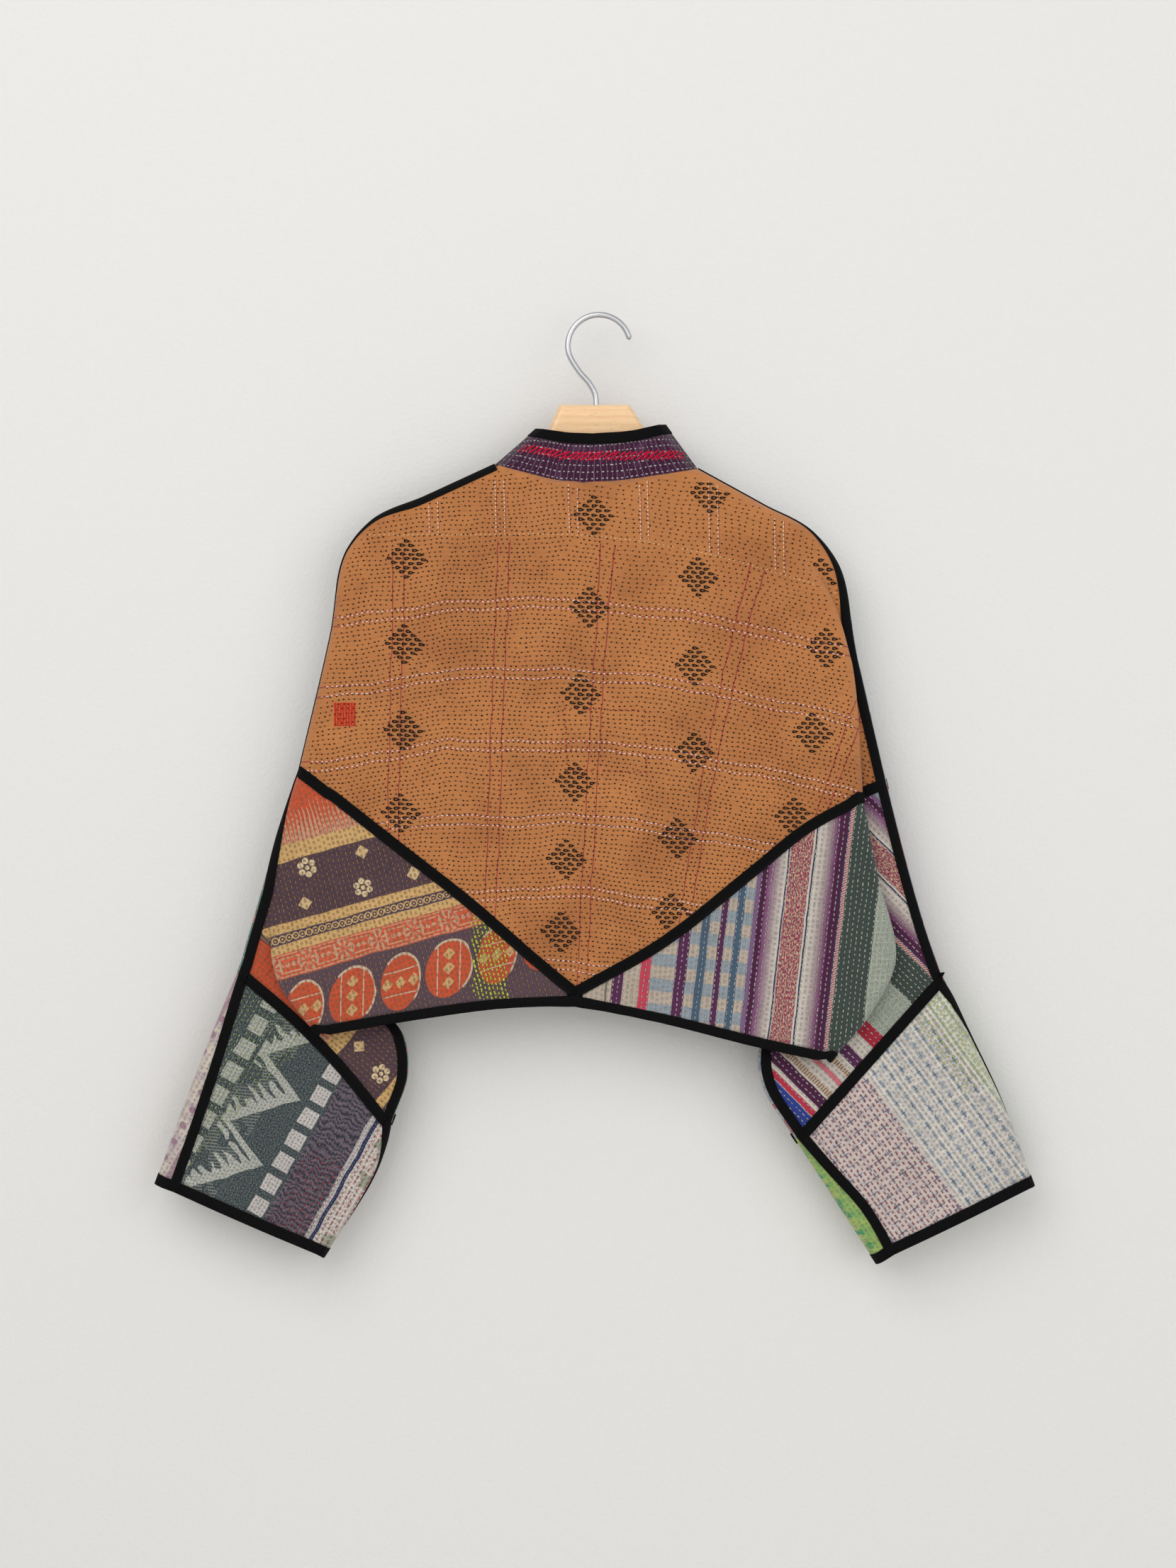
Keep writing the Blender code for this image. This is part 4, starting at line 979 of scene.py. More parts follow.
def running_stitch(
    graph: Graph, along_row: Socket, across: Socket,
    pitch: Socket, period: Socket, duty: Socket, width: Socket,
) -> dict[str, Socket]:
    """Rows of running stitches: the row's number sets its phase, and noise makes the rows wander.

    Args:
        graph: the group's nodes.
        along_row, across: the place along the rows and across them.
        pitch, period: the spacing of the rows, and of the stitches in a row.
        duty, width: the share of its period that a stitch fills, and its width.

    Returns:
        Mask is one on a stitch, the second output is the dent round it (a dent in the relief, and painted
        shade where the cloth darkens in it), and Crown is its height.
    """
    place = graph.point(along_row, across)
    wander = (graph.noise(place, 0.05, 1.0) - 0.5) * 2.2 + (graph.noise(place, 0.35, 1.0) - 0.5) * 0.9
    lane = (across + wander) / pitch
    row = lane.floor()
    jitter = (graph.noise(graph.point(along_row, row * 7.3), 0.22, 1.0) - 0.5) * 0.8
    place_in = along_row / period + graph.chance(row, 3.1) + jitter
    length = duty * (0.75 + 0.5 * graph.chance(place_in.floor(), row))
    inside = ((place_in.fract() - 0.5).abs() * period)
    reach = length * period / 2
    ends = graph.ramp(inside - reach, 0.25, -0.25)
    off = ((lane.fract() - 0.5).abs() * pitch)
    thick = graph.ramp(off - width / 2, 0.16, -0.16)
    mask = ends * thick
    # The dent round a stitch; the cloth also darkens in it as painted shade.
    dent_shade = graph.ramp(inside - reach, 1.1, -0.6) * graph.ramp(off - width / 2, 1.3, -0.2)
    crown = (1.0 - (off / width * 1.6).least(1.0)) * mask
    return {"Mask": mask, "Pull": dent_shade, "Crown": crown}


def quilted_relief(graph: Graph, across: Socket, down: Socket) -> dict[str, Socket]:
    """The relief of worn quilted cotton: short puckers, creases and a plain weave, with a worn tone."""
    place = graph.point(across, down)
    bent_u = across + graph.noise(place, 0.06, 1.0) * 9.0
    bent = graph.point(bent_u, down + graph.noise(place, 0.05, 2.0) * 9.0)
    pucker = graph.noise(bent, 0.19, 2.0, 0.45)
    fold = graph.noise(graph.point(across * 0.6, down * 1.5), 0.09, 2.0, 0.5)
    weave = ((across * 5.2).sin() * (down * 5.2).sin()) * 0.5 + 0.5
    slub = graph.noise(graph.point(across * 0.25, down * 3.0), 0.9, 2.0)
    worn = graph.noise(place, 0.018, 4.0, 0.62)
    fade = graph.noise(place, 0.9, 3.0, 0.7)
    height = pucker * 0.65 + fold * 0.75 + weave * 0.05 + slub * 0.06
    return {"Height": height, "Worn": worn, "Fade": fade, "Weave": weave}


STITCH = GroupSpec(
    "running_stitch",
    ("Along Row", "Across", "Pitch", "Period", "Duty", "Width"),
    ("Mask", "Pull", "Crown"),
    running_stitch,
)
RELIEF = GroupSpec("quilted_relief", ("Across", "Down"), ("Height", "Worn", "Fade", "Weave"), quilted_relief)


@dataclass(frozen=True)
class StitchRows:
    """One set of running stitches over a cloth, where its zone of u and v is one."""

    colour: tuple[float, float, float]
    vertical: bool = True
    pitch: float = 4.1
    period: float = 4.6
    duty: float = 0.42
    width: float = 0.75
    zone: Callable[[Socket, Socket], Socket] | None = None


@dataclass(frozen=True)
class Cloth(Finish):
    """A worn quilted cloth: a dyed pattern, rows of stitches through it, and a soft uneven relief."""

    stitches: Sequence[StitchRows]
    paint: Callable[[Graph, Socket, Socket], Socket]
    relief_depth: float = 2.4
    roughness: float = 0.92
    pucker: float = 1.6
    row_pitch: float = 0.0

    def dress(self, graph: Graph, shader: bpy.types.Node) -> None:
        """The print times the cloth's wear, then each set of stitches over it, dented into the relief, with
        painted shade in each dent.
        """
        u, v = graph.flat()
        relief = graph.group(RELIEF.tree(), Across=u, Down=v)
        tone = 0.80 + relief["Worn"] * 0.36 + (relief["Fade"] - 0.5) * 0.22
        colour = graph.mix(1.0, self.paint(graph, u, v), graph.shade(tone), "MULTIPLY")
        height = relief["Height"] * self.pucker
        if self.row_pitch:
            ridge = (v * (math.tau / self.row_pitch)).sin() * 0.5 + 0.5
            height = height + ridge * (0.10 + relief["Fade"] * 0.22)
        for rows in self.stitches:
            along_row, across = (v, u) if rows.vertical else (u, v)
            sewn = graph.group(
                STITCH.tree(), Along_Row=along_row, Across=across, Pitch=rows.pitch, Period=rows.period,
                Duty=rows.duty, Width=rows.width,
            )
            zone = rows.zone(u, v) if rows.zone else 1.0
            # Painted shade: the cloth's colour darkens in the dent round each stitch.
            colour = graph.mix(sewn["Pull"] * 0.35 * zone, colour, graph.shade(0.45), "MULTIPLY")
            colour = graph.mix(sewn["Mask"] * 0.93 * zone, colour, rows.colour)
            height = height - sewn["Pull"] * zone * 0.42 + sewn["Crown"] * zone * 0.5
        graph.bump(shader, height, self.relief_depth)
        graph.give(shader, Base_Color=colour, Roughness=self.roughness, Specular_IOR_Level=0.25)
        graph.give(shader, Sheen_Weight=0.18, Sheen_Roughness=0.5)


# Colours as they look in soft daylight
OCHRE = srgb(190, 123, 70)
OCHRE_DARK = srgb(158, 94, 52)
BLACK_THREAD = srgb(10, 8, 8)
DARK_RED = srgb(150, 44, 52)
VERMILION = srgb(196, 80, 48)
TAN = srgb(205, 166, 108)
AUBERGINE = srgb(76, 57, 66)
NEON = srgb(214, 236, 60)

# The back's printed lines, on the flat cloth, and the short upright lines of the yoke, as x
LEVEL_LINES = (258, 266, 321, 329, 386, 394, 454, 462, 521, 529, 588, 596)
UPRIGHT_LINES = (-194, -184, -104, -94, -17, -8, 85, 95, 195, 205)
YOKE_LINES = (-156, -148, -95, -87, -28, -20, 37, 44, 100, 108, 160, 168)

# Half the softness of a printed band's edge
BAND_EDGE = 0.5


def yoke_join(x: Array | float) -> Array | float:
    """The height of the sewn join below the yoke, level on the left and falling to the right."""
    return -200 - 0.0007 * np.clip(x + 60, 0, None) ** 2


def any_of(masks: Iterable[Socket]) -> Socket:
    """One where any of the masks is one."""
    return functools.reduce(Socket.most, masks)


def lines_at(value: Socket, places: Sequence[float], reach: float) -> Socket:
    """One where the value is close to any of the places."""
    return any_of(value.near(place, reach) for place in places)


def within(turns: Socket, pitch: float) -> Socket:
    """The place in a repeat, from its middle, for a value that grows by one from repeat to repeat."""
    return turns.fract() * pitch - pitch / 2


def distance(x: Socket, y: Socket) -> Socket:
    """The distance from the origin."""
    return (x * x + y * y).root()


# Each painter takes the graph and the place on the flat cloth in millimetres, with u across and v down, and
# returns the colour there. A wander from smooth noise keeps its lines from being quite straight.


def paint_ochre(graph: Graph, u: Socket, v: Socket) -> Socket:
    """Ochre cotton with thin dark red lines in pairs, and cream thread over the level pairs."""
    place = graph.point(u, v)
    stain = graph.noise(place, 0.012, 3.0, 0.55).soft(0.42, 0.68)
    colour = graph.mix(stain * 0.55, OCHRE, OCHRE_DARK)
    wander = (graph.noise(place, 0.03, 2.0) - 0.5) * 5.0
    below = v.above(204.0)
    leaned = u - (540.0 - v) * (u * 0.0002 + 0.055)
    upright = lines_at(leaned + wander, UPRIGHT_LINES, 0.5) * below
    level = lines_at(v, LEVEL_LINES, 0.62)
    return graph.mix((upright * 0.85).most(level * 0.85), colour, DARK_RED)


def bands(colour: Colour, value: Socket, *given: tuple[float, float, Colour]) -> Socket:
    """Lays colours over stretches of the value, one after the other, with slightly soft edges."""
    for start, stop, over in given:
        half = (stop - start) / 2
        mask = (value - (start + stop) / 2).abs().soft(half + BAND_EDGE, half - BAND_EDGE)
        colour = value.graph.mix(mask, colour, over)
    return colour


def paint_vermilion(graph: Graph, u: Socket, v: Socket) -> Socket:
    """Vermilion with sun rays, tan stripes, an aubergine band with flowers, and a border of ovals.

    The bands are stretches of v. The motifs in them repeat along u, as diamonds (the sum of two distances),
    rings (the distance from a middle) and petals (an angle folded into equal parts).
    """
    place = graph.point(u, v)
    wander = (graph.noise(place, 0.035, 2.0) - 0.5) * 3.5
    p = v + wander
    # Rays that widen downwards
    ray = (u / 3.9 + graph.noise(place, 0.05, 1.0) * 1.1).fract() - 0.5
    tip = 412.0 + graph.chance((u / 3.9).floor()) * 12.0
    rays = ray.abs().below(graph.ramp(p, 412.0, 450.0, 0.04, 0.42)) * p.above(tip)
    colour = graph.mix(rays * 0.8, VERMILION, srgb(196, 160, 130))
    # The aubergine band with its lone diamonds, and flowers of six round petals
    colour = bands(colour, p, (449, 464, TAN), (463.5, 518, AUBERGINE))
    flecks = graph.noise(place, 0.5, 2.0).above(0.62) * p.near(490, 27)
    colour = graph.mix(flecks * 0.3, colour, srgb(110, 92, 98))
    spots = ((340.3, 104.0, 474.0, 6.4), (300.0, 103.0, 505.0, 6.4), (402.0, 103.0, 505.0, 6.0))
    lone = any_of(
        (within((u + shift) / pitch + 0.5, pitch).abs() + (p - middle).abs()).below(reach)
        for shift, pitch, middle, reach in spots
    )
    colour = graph.mix(lone, colour, srgb(206, 176, 130))
    for shift, middle in ((392.5, 474.0), (348.0, 505.0)):
        across = within((u + shift) / 103.5 + 0.5, 103.5)
        reach = distance(across, p - middle)
        angle = graph.math("ARCTAN2", p - middle, across)
        folded = ((angle * (3.0 / math.pi)).fract() - 0.5) * (math.pi / 3.0)
        petal = distance(reach * (folded + math.pi / 2.0).sin() - 6.2, reach * folded.sin())
        flower = (petal.below(2.9) * petal.above(0.5)).most(reach.below(2.1))
        colour = graph.mix(flower, colour, srgb(212, 190, 150))
    # A chain of rings between tan stripes
    colour = bands(colour, p, (517.6, 526.8, TAN))
    chain = bands(colour, p, (526.6, 536, srgb(66, 60, 78)))
    link = distance(within(u / 6.2, 6.2), p - 531.3)
    colour = graph.mix(link.near(2.7, 0.55).most(link.below(0.9)), chain, TAN)
    colour = bands(colour, p, (536, 544, TAN), (543.8, 566.4, srgb(204, 92, 60)))
    # Stars between boxes of dots, with a rail on both sides
    q = p - 555.0
    star_u = within(u / 33.0, 33.0)
    star = distance(star_u, q)
    arms = (graph.math("ARCTAN2", q, star_u) * 4.0).sin().abs().above(0.72) * star.near(5.6, 3.8)
    box_u = within((u + 16.5) / 33.0, 33.0).abs()
    box = (box_u.near(9.2, 0.6) * q.abs().below(6.4)).most(q.abs().near(6.4, 0.6) * box_u.below(9.6))
    dots = distance(within((u + 16.5) / 5.5, 5.5), q).below(2.0) * box_u.below(8.0)
    colour = graph.mix(any_of((arms, box, dots, q.abs().near(9.6, 0.5))), colour, srgb(196, 152, 122))
    colour = bands(colour, p, (566.2, 720, srgb(84, 66, 76)))
    # Ovals, upright and lying in turn, each with a lit rim and three diamonds between two bars
    lying = (((u - 4.0) / 45.5).floor() * 0.5).fract().below(0.25)
    oval_u = within((u - 4.0) / 45.5, 45.5)
    upright = p - 597.0
    leaned = oval_u + upright * 0.3
    wide = leaned / (22.0 - lying * 3.5)
    high = upright / 24.5
    oval = wide * wide + high * high
    colour = graph.mix(oval.below(1.0), colour, VERMILION)
    rim = oval.near(1.0, 0.09) * (oval_u - upright * 0.4).above(0.0)
    over = leaned * (1.0 - lying) + upright * lying
    beside = upright * (1.0 - lying) + leaned * lying
    bars = over.near(-10.5, 0.55).most(over.near(10.5, 0.55)) * oval.below(0.92)
    colour = graph.mix(rim.most(bars), colour, srgb(200, 176, 150))
    three = within(beside / 12.5 + 0.5, 12.5)
    gems = (over.abs() + three.abs()).below(5.6) * beside.abs().below(18.0)
    colour = graph.mix(gems, colour, srgb(200, 158, 106))
    threads = graph.noise(graph.point(u * 1.3, v * 0.12), 0.8, 2.0).soft(0.5, 0.75)
    return graph.mix(threads * 0.35, colour, srgb(120, 84, 74))


def paint_stripes(graph: Graph, u: Socket, v: Socket) -> Socket:
    """Old striped cloth: stretches of u from a check of cream and blue to fading purple and green."""
    place = graph.point(u, v)
    wander = (graph.noise(place, 0.04, 2.0) - 0.5) * 2.6
    s = u + wander
    purple = srgb(84, 36, 76)
    deep_purple = srgb(72, 24, 60)
    teal = srgb(70, 92, 112)
    navy = srgb(50, 54, 86)
    level = ((v + wander) / 23.0).fract().below(0.5)
    colour = graph.mix(level * s.near(88.0, 45.0), srgb(184, 168, 152), srgb(143, 153, 160))
    colour = bands(
        colour, s, (5, 7, srgb(120, 112, 96)), (10.7, 20, purple), (35, 44.3, srgb(196, 64, 84)),
        (66.4, 76.8, purple), (86, 93, teal), (102.4, 108.2, purple), (116.3, 123, teal),
        (131, 136, srgb(120, 92, 128)),
    )
    # Purple that fades into the pale stripes beside it
    fade = s + (graph.noise(graph.point(u * 0.4, v * 2.2), 0.9, 2.0) - 0.5) * 9.0
    pale = graph.mix(s.above(136), colour, srgb(202, 192, 180))
    colour = graph.mix(graph.ramp(fade, 158, 140) * s.near(147.5, 12.5), pale, srgb(120, 60, 108))
    colour = bands(colour, s, (135.5, 141, deep_purple))
    # A mottled stripe between two thin lines
    ikat = graph.noise(graph.point(u * 1.0, v * 0.45), 0.85, 3.0, 0.6)
    ikat_colour = graph.mix(ikat.soft(0.47, 0.6), srgb(140, 54, 80), srgb(208, 176, 142))
    colour = graph.mix(s.near(169, 9.5), colour, ikat_colour)
    colour = graph.mix(lines_at(s, (158.0, 181.0), 0.75), colour, navy)
    colour = graph.mix(graph.ramp(fade, 184, 202) * s.near(196, 12.5), colour, srgb(104, 38, 90))
    colour = bands(colour, s, (201, 208.5, deep_purple))
    # A twisted cord beside a dark line
    rope = graph.mix(((v / 2.4) + u * 0.3).fract().below(0.5), srgb(206, 170, 160), srgb(150, 80, 90))
    colour = graph.mix(s.near(210.6, 2.0), colour, rope)
    colour = graph.mix(s.near(208.8, 0.6), colour, navy)
    # Green, speckled stripes, and two ladders
    colour = bands(colour, s, (212.8, 242.5, srgb(58, 70, 64)))
    speck = graph.mix(graph.noise(place, 1.3, 2.0).soft(0.4, 0.6), srgb(124, 136, 122), srgb(184, 188, 172))
    colour = graph.mix(s.near(262, 19.5), colour, speck)
    colour = bands(colour, s, (282, 296, srgb(164, 34, 52)), (310, 321, purple))
    ladder = graph.mix((v / 2.6).fract().below(0.5), srgb(214, 172, 142), srgb(120, 112, 98))
    colour = graph.mix(lines_at(s, (329.0, 354.5), 2.6), colour, ladder)
    colour = bands(colour, s, (338, 343, srgb(206, 110, 120)), (359, 370, deep_purple))
    colour = bands(colour, s, (374, 380, srgb(186, 44, 70)))
    return graph.mix(s.above(380.5), colour, srgb(40, 60, 140))


def paint_plum(graph: Graph, u: Socket, v: Socket) -> Socket:
    """Plum cotton worn to grey in places, with thin pale lines."""
    place = graph.point(u, v)
    worn = graph.noise(place, 0.05, 3.0, 0.6).soft(0.52, 0.72)
    colour = graph.mix(worn * 0.32, srgb(60, 15, 48), srgb(110, 70, 102))
    drift = graph.noise(graph.point(u, v * 0.3), 0.05, 2.0) * 10.0
    fine = ((u + v * 0.12 + drift) / 6.1).fract().below(0.08)
    return graph.mix(fine * 0.42, colour, srgb(176, 156, 170))


def speckled(place: Socket, first: Colour, second: Colour, scale: float, start: float, stop: float) -> Socket:
    """Two colours mixed by noise."""
    graph = place.graph
    return graph.mix(graph.noise(place, scale, 3.0, 0.6).soft(start, stop), first, second)


def paint_teal(graph: Graph, u: Socket, v: Socket) -> Socket:
    """Slate with two files of pale squares, a jagged zigzag between them, a mauve field and a pink border."""
    place = graph.point(u, v)
    wander = (graph.noise(place, 0.05, 2.0) - 0.5) * 4.0
    across = u + wander
    slate = speckled(place, srgb(42, 52, 58), srgb(108, 118, 114), 0.75, 0.42, 0.68)
    # The mauve field has wavy ridges about 5.2 mm apart down the cloth; the dark between them is painted
    # shade.
    ridge = ((v / 5.2 + graph.noise(graph.point(u, v * 0.6), 0.10, 2.0) * 3.4) * math.tau).sin() * 0.5 + 0.5
    field_colour = speckled(place, srgb(104, 96, 108), srgb(132, 112, 122), 0.2, 0.4, 0.6)
    mauve = graph.mix(ridge * 0.8, srgb(50, 46, 60), field_colour)
    colour = graph.mix(across.above(131.5), slate, mauve)
    pale = speckled(place, srgb(160, 164, 152), srgb(206, 204, 194), 0.8, 0.38, 0.6)
    rosy = speckled(place, srgb(186, 172, 168), srgb(218, 214, 208), 0.8, 0.38, 0.6)
    first = across.near(40.0, 7.6) * (((v + 5.0) / 24.3).fract() - 0.5).abs().below(0.33)
    second = across.near(121.5, 7.6) * (((v - 2.0) / 23.0).fract() - 0.5).abs().below(0.34)
    phase = ((v + wander - 51.0) / 69.0).fract()
    rising = 57.0 + phase * (47.0 / 0.29)
    falling = 104.0 - (phase - 0.29) * (47.0 / 0.71)
    centre = rising.least(falling)
    tooth = ((v * 0.914 - u * 0.402) / 8.8 + graph.noise(place, 0.06, 1.0)).fract()
    spike = graph.ramp((tooth - 0.45).abs(), 0.5, 0.05)
    reach = 7.5 + spike * 24.0 * graph.noise(place, 0.07, 1.0).soft(0.25, 0.55)
    beyond = centre - across
    zigzag = beyond.above(-3.0) * beyond.below(reach) * across.near(81.0, 29.0)
    fan = ((u * 0.45 + v) / 3.1).fract().below(0.4) * across.near(66.0, 17.0)
    fan = fan * graph.noise(place, 0.05, 1.0).above(0.5)
    colour = graph.mix(fan * 0.35, colour, pale)
    colour = graph.mix(zigzag * 0.85, colour, pale)
    colour = graph.mix(first * 0.85, colour, pale)
    colour = graph.mix(second * 0.9, colour, rosy)
    colour = graph.mix(across.near(178.0, 1.6), colour, srgb(40, 48, 84))
    border = speckled(place, srgb(206, 186, 178), srgb(214, 208, 198), 0.35, 0.4, 0.6)
    border = graph.mix(graph.noise(place, 0.06, 1.0).soft(0.58, 0.64) * 0.7, border, srgb(130, 144, 112))
    colour = graph.mix(across.above(179.6), colour, border)
    return graph.mix(across.near(173.5, 2.4) * 0.8, colour, rosy)


def paint_check(graph: Graph, u: Socket, v: Socket) -> Socket:
    """Pale cream and blue check with thin dark blue crosses, and a plain pink field along the inner edge."""
    place = graph.point(u, v)
    wander = (graph.noise(place, 0.03, 2.0) - 0.5) * 2.0
    cell_u = within((u + wander) / 11.0, 11.0).abs()
    cell_v = within((v + wander) / 11.0, 11.0).abs()
    cream = speckled(place, srgb(188, 182, 176), srgb(206, 198, 188), 0.12, 0.4, 0.6)
    blue = speckled(place, srgb(140, 156, 166), srgb(178, 186, 190), 0.4, 0.4, 0.6)
    pink_field = (u + wander).below(86.0)
    block = graph.ramp(cell_u, 4.1, 2.7) * graph.ramp(cell_v, 4.1, 2.7)
    # Painted highlight: a pale line along the middle of each quilted ridge, 5.5 mm apart, outside the pink
    # field.
    ridge = (((u + wander) / 5.5).fract() - 0.5).abs().soft(0.26, 0.12) * (1.0 - pink_field)
    colour = graph.mix(block * 0.72, cream, blue)
    colour = graph.mix(pink_field * 0.6, colour, srgb(212, 190, 184))
    thin = (cell_u.below(0.5) * cell_v.below(4.0)).most(cell_v.below(0.5) * cell_u.below(4.0))
    faint = graph.noise(place, 0.07, 2.0).soft(0.36, 0.6)
    colour = graph.mix(thin * (0.3 + faint * 0.55), colour, srgb(56, 76, 104))
    # The painted highlight on the ridges.
    colour = graph.mix(ridge * 0.5, colour, srgb(236, 228, 218))
    return graph.mix(u.above(168.0) * 0.5, colour, srgb(206, 212, 180))


def two_tone(first: Colour, second: Colour, third: Colour) -> Callable[[Graph, Socket, Socket], Socket]:
    """A plain faded print for the cloths that hardly show: soft blotches under broad stripes and dots.

    Args:
        first, second: the colours of the blotches.
        third: the colour of the stripes and dots.

    Returns:
        The painter.
    """

    def paint(graph: Graph, u: Socket, v: Socket) -> Socket:
        """The blotches, then each stripe and each round dot as a mask."""
        place = graph.point(u, v)
        base = speckled(place, first, second, 0.09, 0.42, 0.6)
        wander = (graph.noise(place, 0.05, 2.0) - 0.5) * 3.0
        stripe = ((u + wander) / 34.0).fract().below(0.24)
        dots_u = within((u + wander) / 17.0, 17.0)
        dots_v = within((v + wander) / 17.0, 17.0)
        dot = (dots_u * dots_u + dots_v * dots_v).below(9.0)
        return graph.mix((stripe * 0.6).most(dot * 0.8), base, third)

    return paint


def zone_pink(u: Socket, v: Socket) -> Socket:
    """The right cuff's inner field, which is sewn in red."""
    return u.below(86.0)


def zone_pale(u: Socket, v: Socket) -> Socket:
    """The rest of the right cuff."""
    return u.above(88.0)


def zone_lime(u: Socket, v: Socket) -> Socket:
    """The outer edge of the right cuff, where some rows are yellow-green."""
    return u.above(150.0) * v.below(60.0)


def zone_green(u: Socket, v: Socket) -> Socket:
    """The left cuff's outer half."""
    graph = u.graph
    return (u + v * 0.25).below(92.0) * graph.noise(graph.point(u, v), 0.04, 2.0).above(0.34)


def zone_red(u: Socket, v: Socket) -> Socket:
    """The lower part of the left cuff's mauve field, and its border."""
    return (u.near(155.0, 18.0) * v.above(105.0)).most(u.above(180.0))


def zone_neon(u: Socket, v: Socket) -> Socket:
    """A small patch of later stitches near the right end of the vermilion panel."""
    x = u * 0.963 + (v - 60.2) * 0.269
    drop = (v - 60.2) * 0.963 - u * 0.269
    edge = u.graph.noise(u.graph.point(u, v), 0.09, 1.0) * 12.0
    return (x + 99.0).abs().below(10.0 + edge) * (drop - 585.0).abs().below(38.0)


OCHRE_CLOTH = Cloth("kantha_ochre", [], paint_ochre, row_pitch=4.1)
GOLD_ROWS = StitchRows(srgb(206, 140, 66), True, 4.3, 5.2, 0.45, 0.7)
NEON_ROWS = StitchRows(NEON, True, 3.6, 4.4, 0.56, 1.3, zone_neon)
VERMILION_CLOTH = Cloth("kantha_vermilion", [GOLD_ROWS, NEON_ROWS], paint_vermilion)
WHITE_ROWS = StitchRows(srgb(220, 212, 202), True, 4.6, 5.0, 0.45, 0.85)
STRIPE_CLOTH = Cloth("kantha_stripe", [WHITE_ROWS], paint_stripes)
COLLAR_ROWS_SEWN = StitchRows(srgb(240, 232, 236), False, 6.2, 4.8, 0.36, 0.95)
PLUM_CLOTH = Cloth("kantha_plum", [COLLAR_ROWS_SEWN], paint_plum)
SLATE_ROWS = StitchRows(srgb(176, 180, 174), True, 3.2, 3.6, 0.42, 0.45)
LIME_ROWS = StitchRows(srgb(184, 214, 120), True, 4.6, 5.0, 0.46, 0.8, zone_green)
RED_ROWS = StitchRows(srgb(176, 34, 52), True, 5.0, 5.4, 0.46, 0.95, zone_red)
TEAL_CLOTH = Cloth("kantha_teal", [SLATE_ROWS, LIME_ROWS, RED_ROWS], paint_teal)
CHECK_CLOTH = Cloth(
    "kantha_check",
    [
        StitchRows(srgb(164, 26, 46), True, 4.3, 5.4, 0.52, 0.95, zone_pink),
        StitchRows(srgb(222, 220, 212), True, 4.3, 4.9, 0.5, 0.6, zone_pale),
        StitchRows(srgb(206, 226, 70), True, 5.1, 5.4, 0.5, 0.95, zone_lime),
    ],
    paint_check,
)
PALE_THREAD = StitchRows(srgb(208, 204, 196), True, 4.3, 4.8, 0.42, 0.6)

# The cloths of the front: a name, the two colours of the blotches and that of the stripes
FRONT_PRINTS = {
    "front_left": ("kantha_olive", (120, 116, 76), (92, 104, 92), (180, 160, 110)),
    "front_right": ("kantha_pale_blue", (168, 180, 184), (196, 194, 184), (110, 130, 150)),
    "front_side_left": ("kantha_green", (86, 124, 116), (120, 130, 104), (190, 120, 130)),
    "front_side_right": ("kantha_grey", (140, 150, 166), (176, 176, 176), (170, 60, 70)),
    "front_cuff_left": ("kantha_cream", (206, 194, 180), (188, 172, 172), (150, 104, 130)),
    "front_cuff_right": ("kantha_lime", (166, 182, 104), (62, 150, 96), (150, 178, 92)),
}
CLOTHS = {
    node: Cloth(name, [PALE_THREAD], two_tone(*(srgb(*colour) for colour in colours)))
    for node, (name, *colours) in FRONT_PRINTS.items()
} | {
    "back_center": OCHRE_CLOTH,
    "back_side_left": VERMILION_CLOTH,
    "back_side_right": STRIPE_CLOTH,
    "back_cuff_left": TEAL_CLOTH,
    "back_cuff_right": CHECK_CLOTH,
    "collar": PLUM_CLOTH,
}


@dataclass(frozen=True)
class BlackTape(Finish):
    """Matte black cotton tape, with its middle at half its width."""

    name: str = "black_tape"
    middle: float = TAPE_WIDTH / 2

    def dress(self, graph: Graph, shader: bpy.types.Node) -> None:
        """A fine twill with a little lint, worn edges and a row of stitches along each edge."""
        u, v = graph.flat()
        aside = (v - self.middle).abs()
        twill = ((u + v) * 4.4).sin() * 0.5 + 0.5
        lint = graph.noise(graph.point(u, v), 0.8, 4.0, 0.7)
        pucker = graph.noise(graph.point(u * 1.0, v * 0.3), 0.22, 2.0)
        colour = graph.mix(lint.soft(0.5, 0.85) * 0.4, srgb(7, 7, 8), srgb(22, 21, 23))
        colour = graph.mix(aside.soft(4.3, 5.0) * 0.3, colour, srgb(26, 25, 26))
        stitch = aside.near(3.9, 0.28) * (u / 3.4).fract().below(0.66)
        colour = graph.mix(stitch * 0.8, colour, srgb(14, 13, 14))
        graph.bump(shader, twill * 0.22 + pucker * 0.8 + lint * 0.2 - stitch * 0.5, 0.9)
        graph.give(shader, Base_Color=colour, Roughness=0.85, Specular_IOR_Level=0.12)


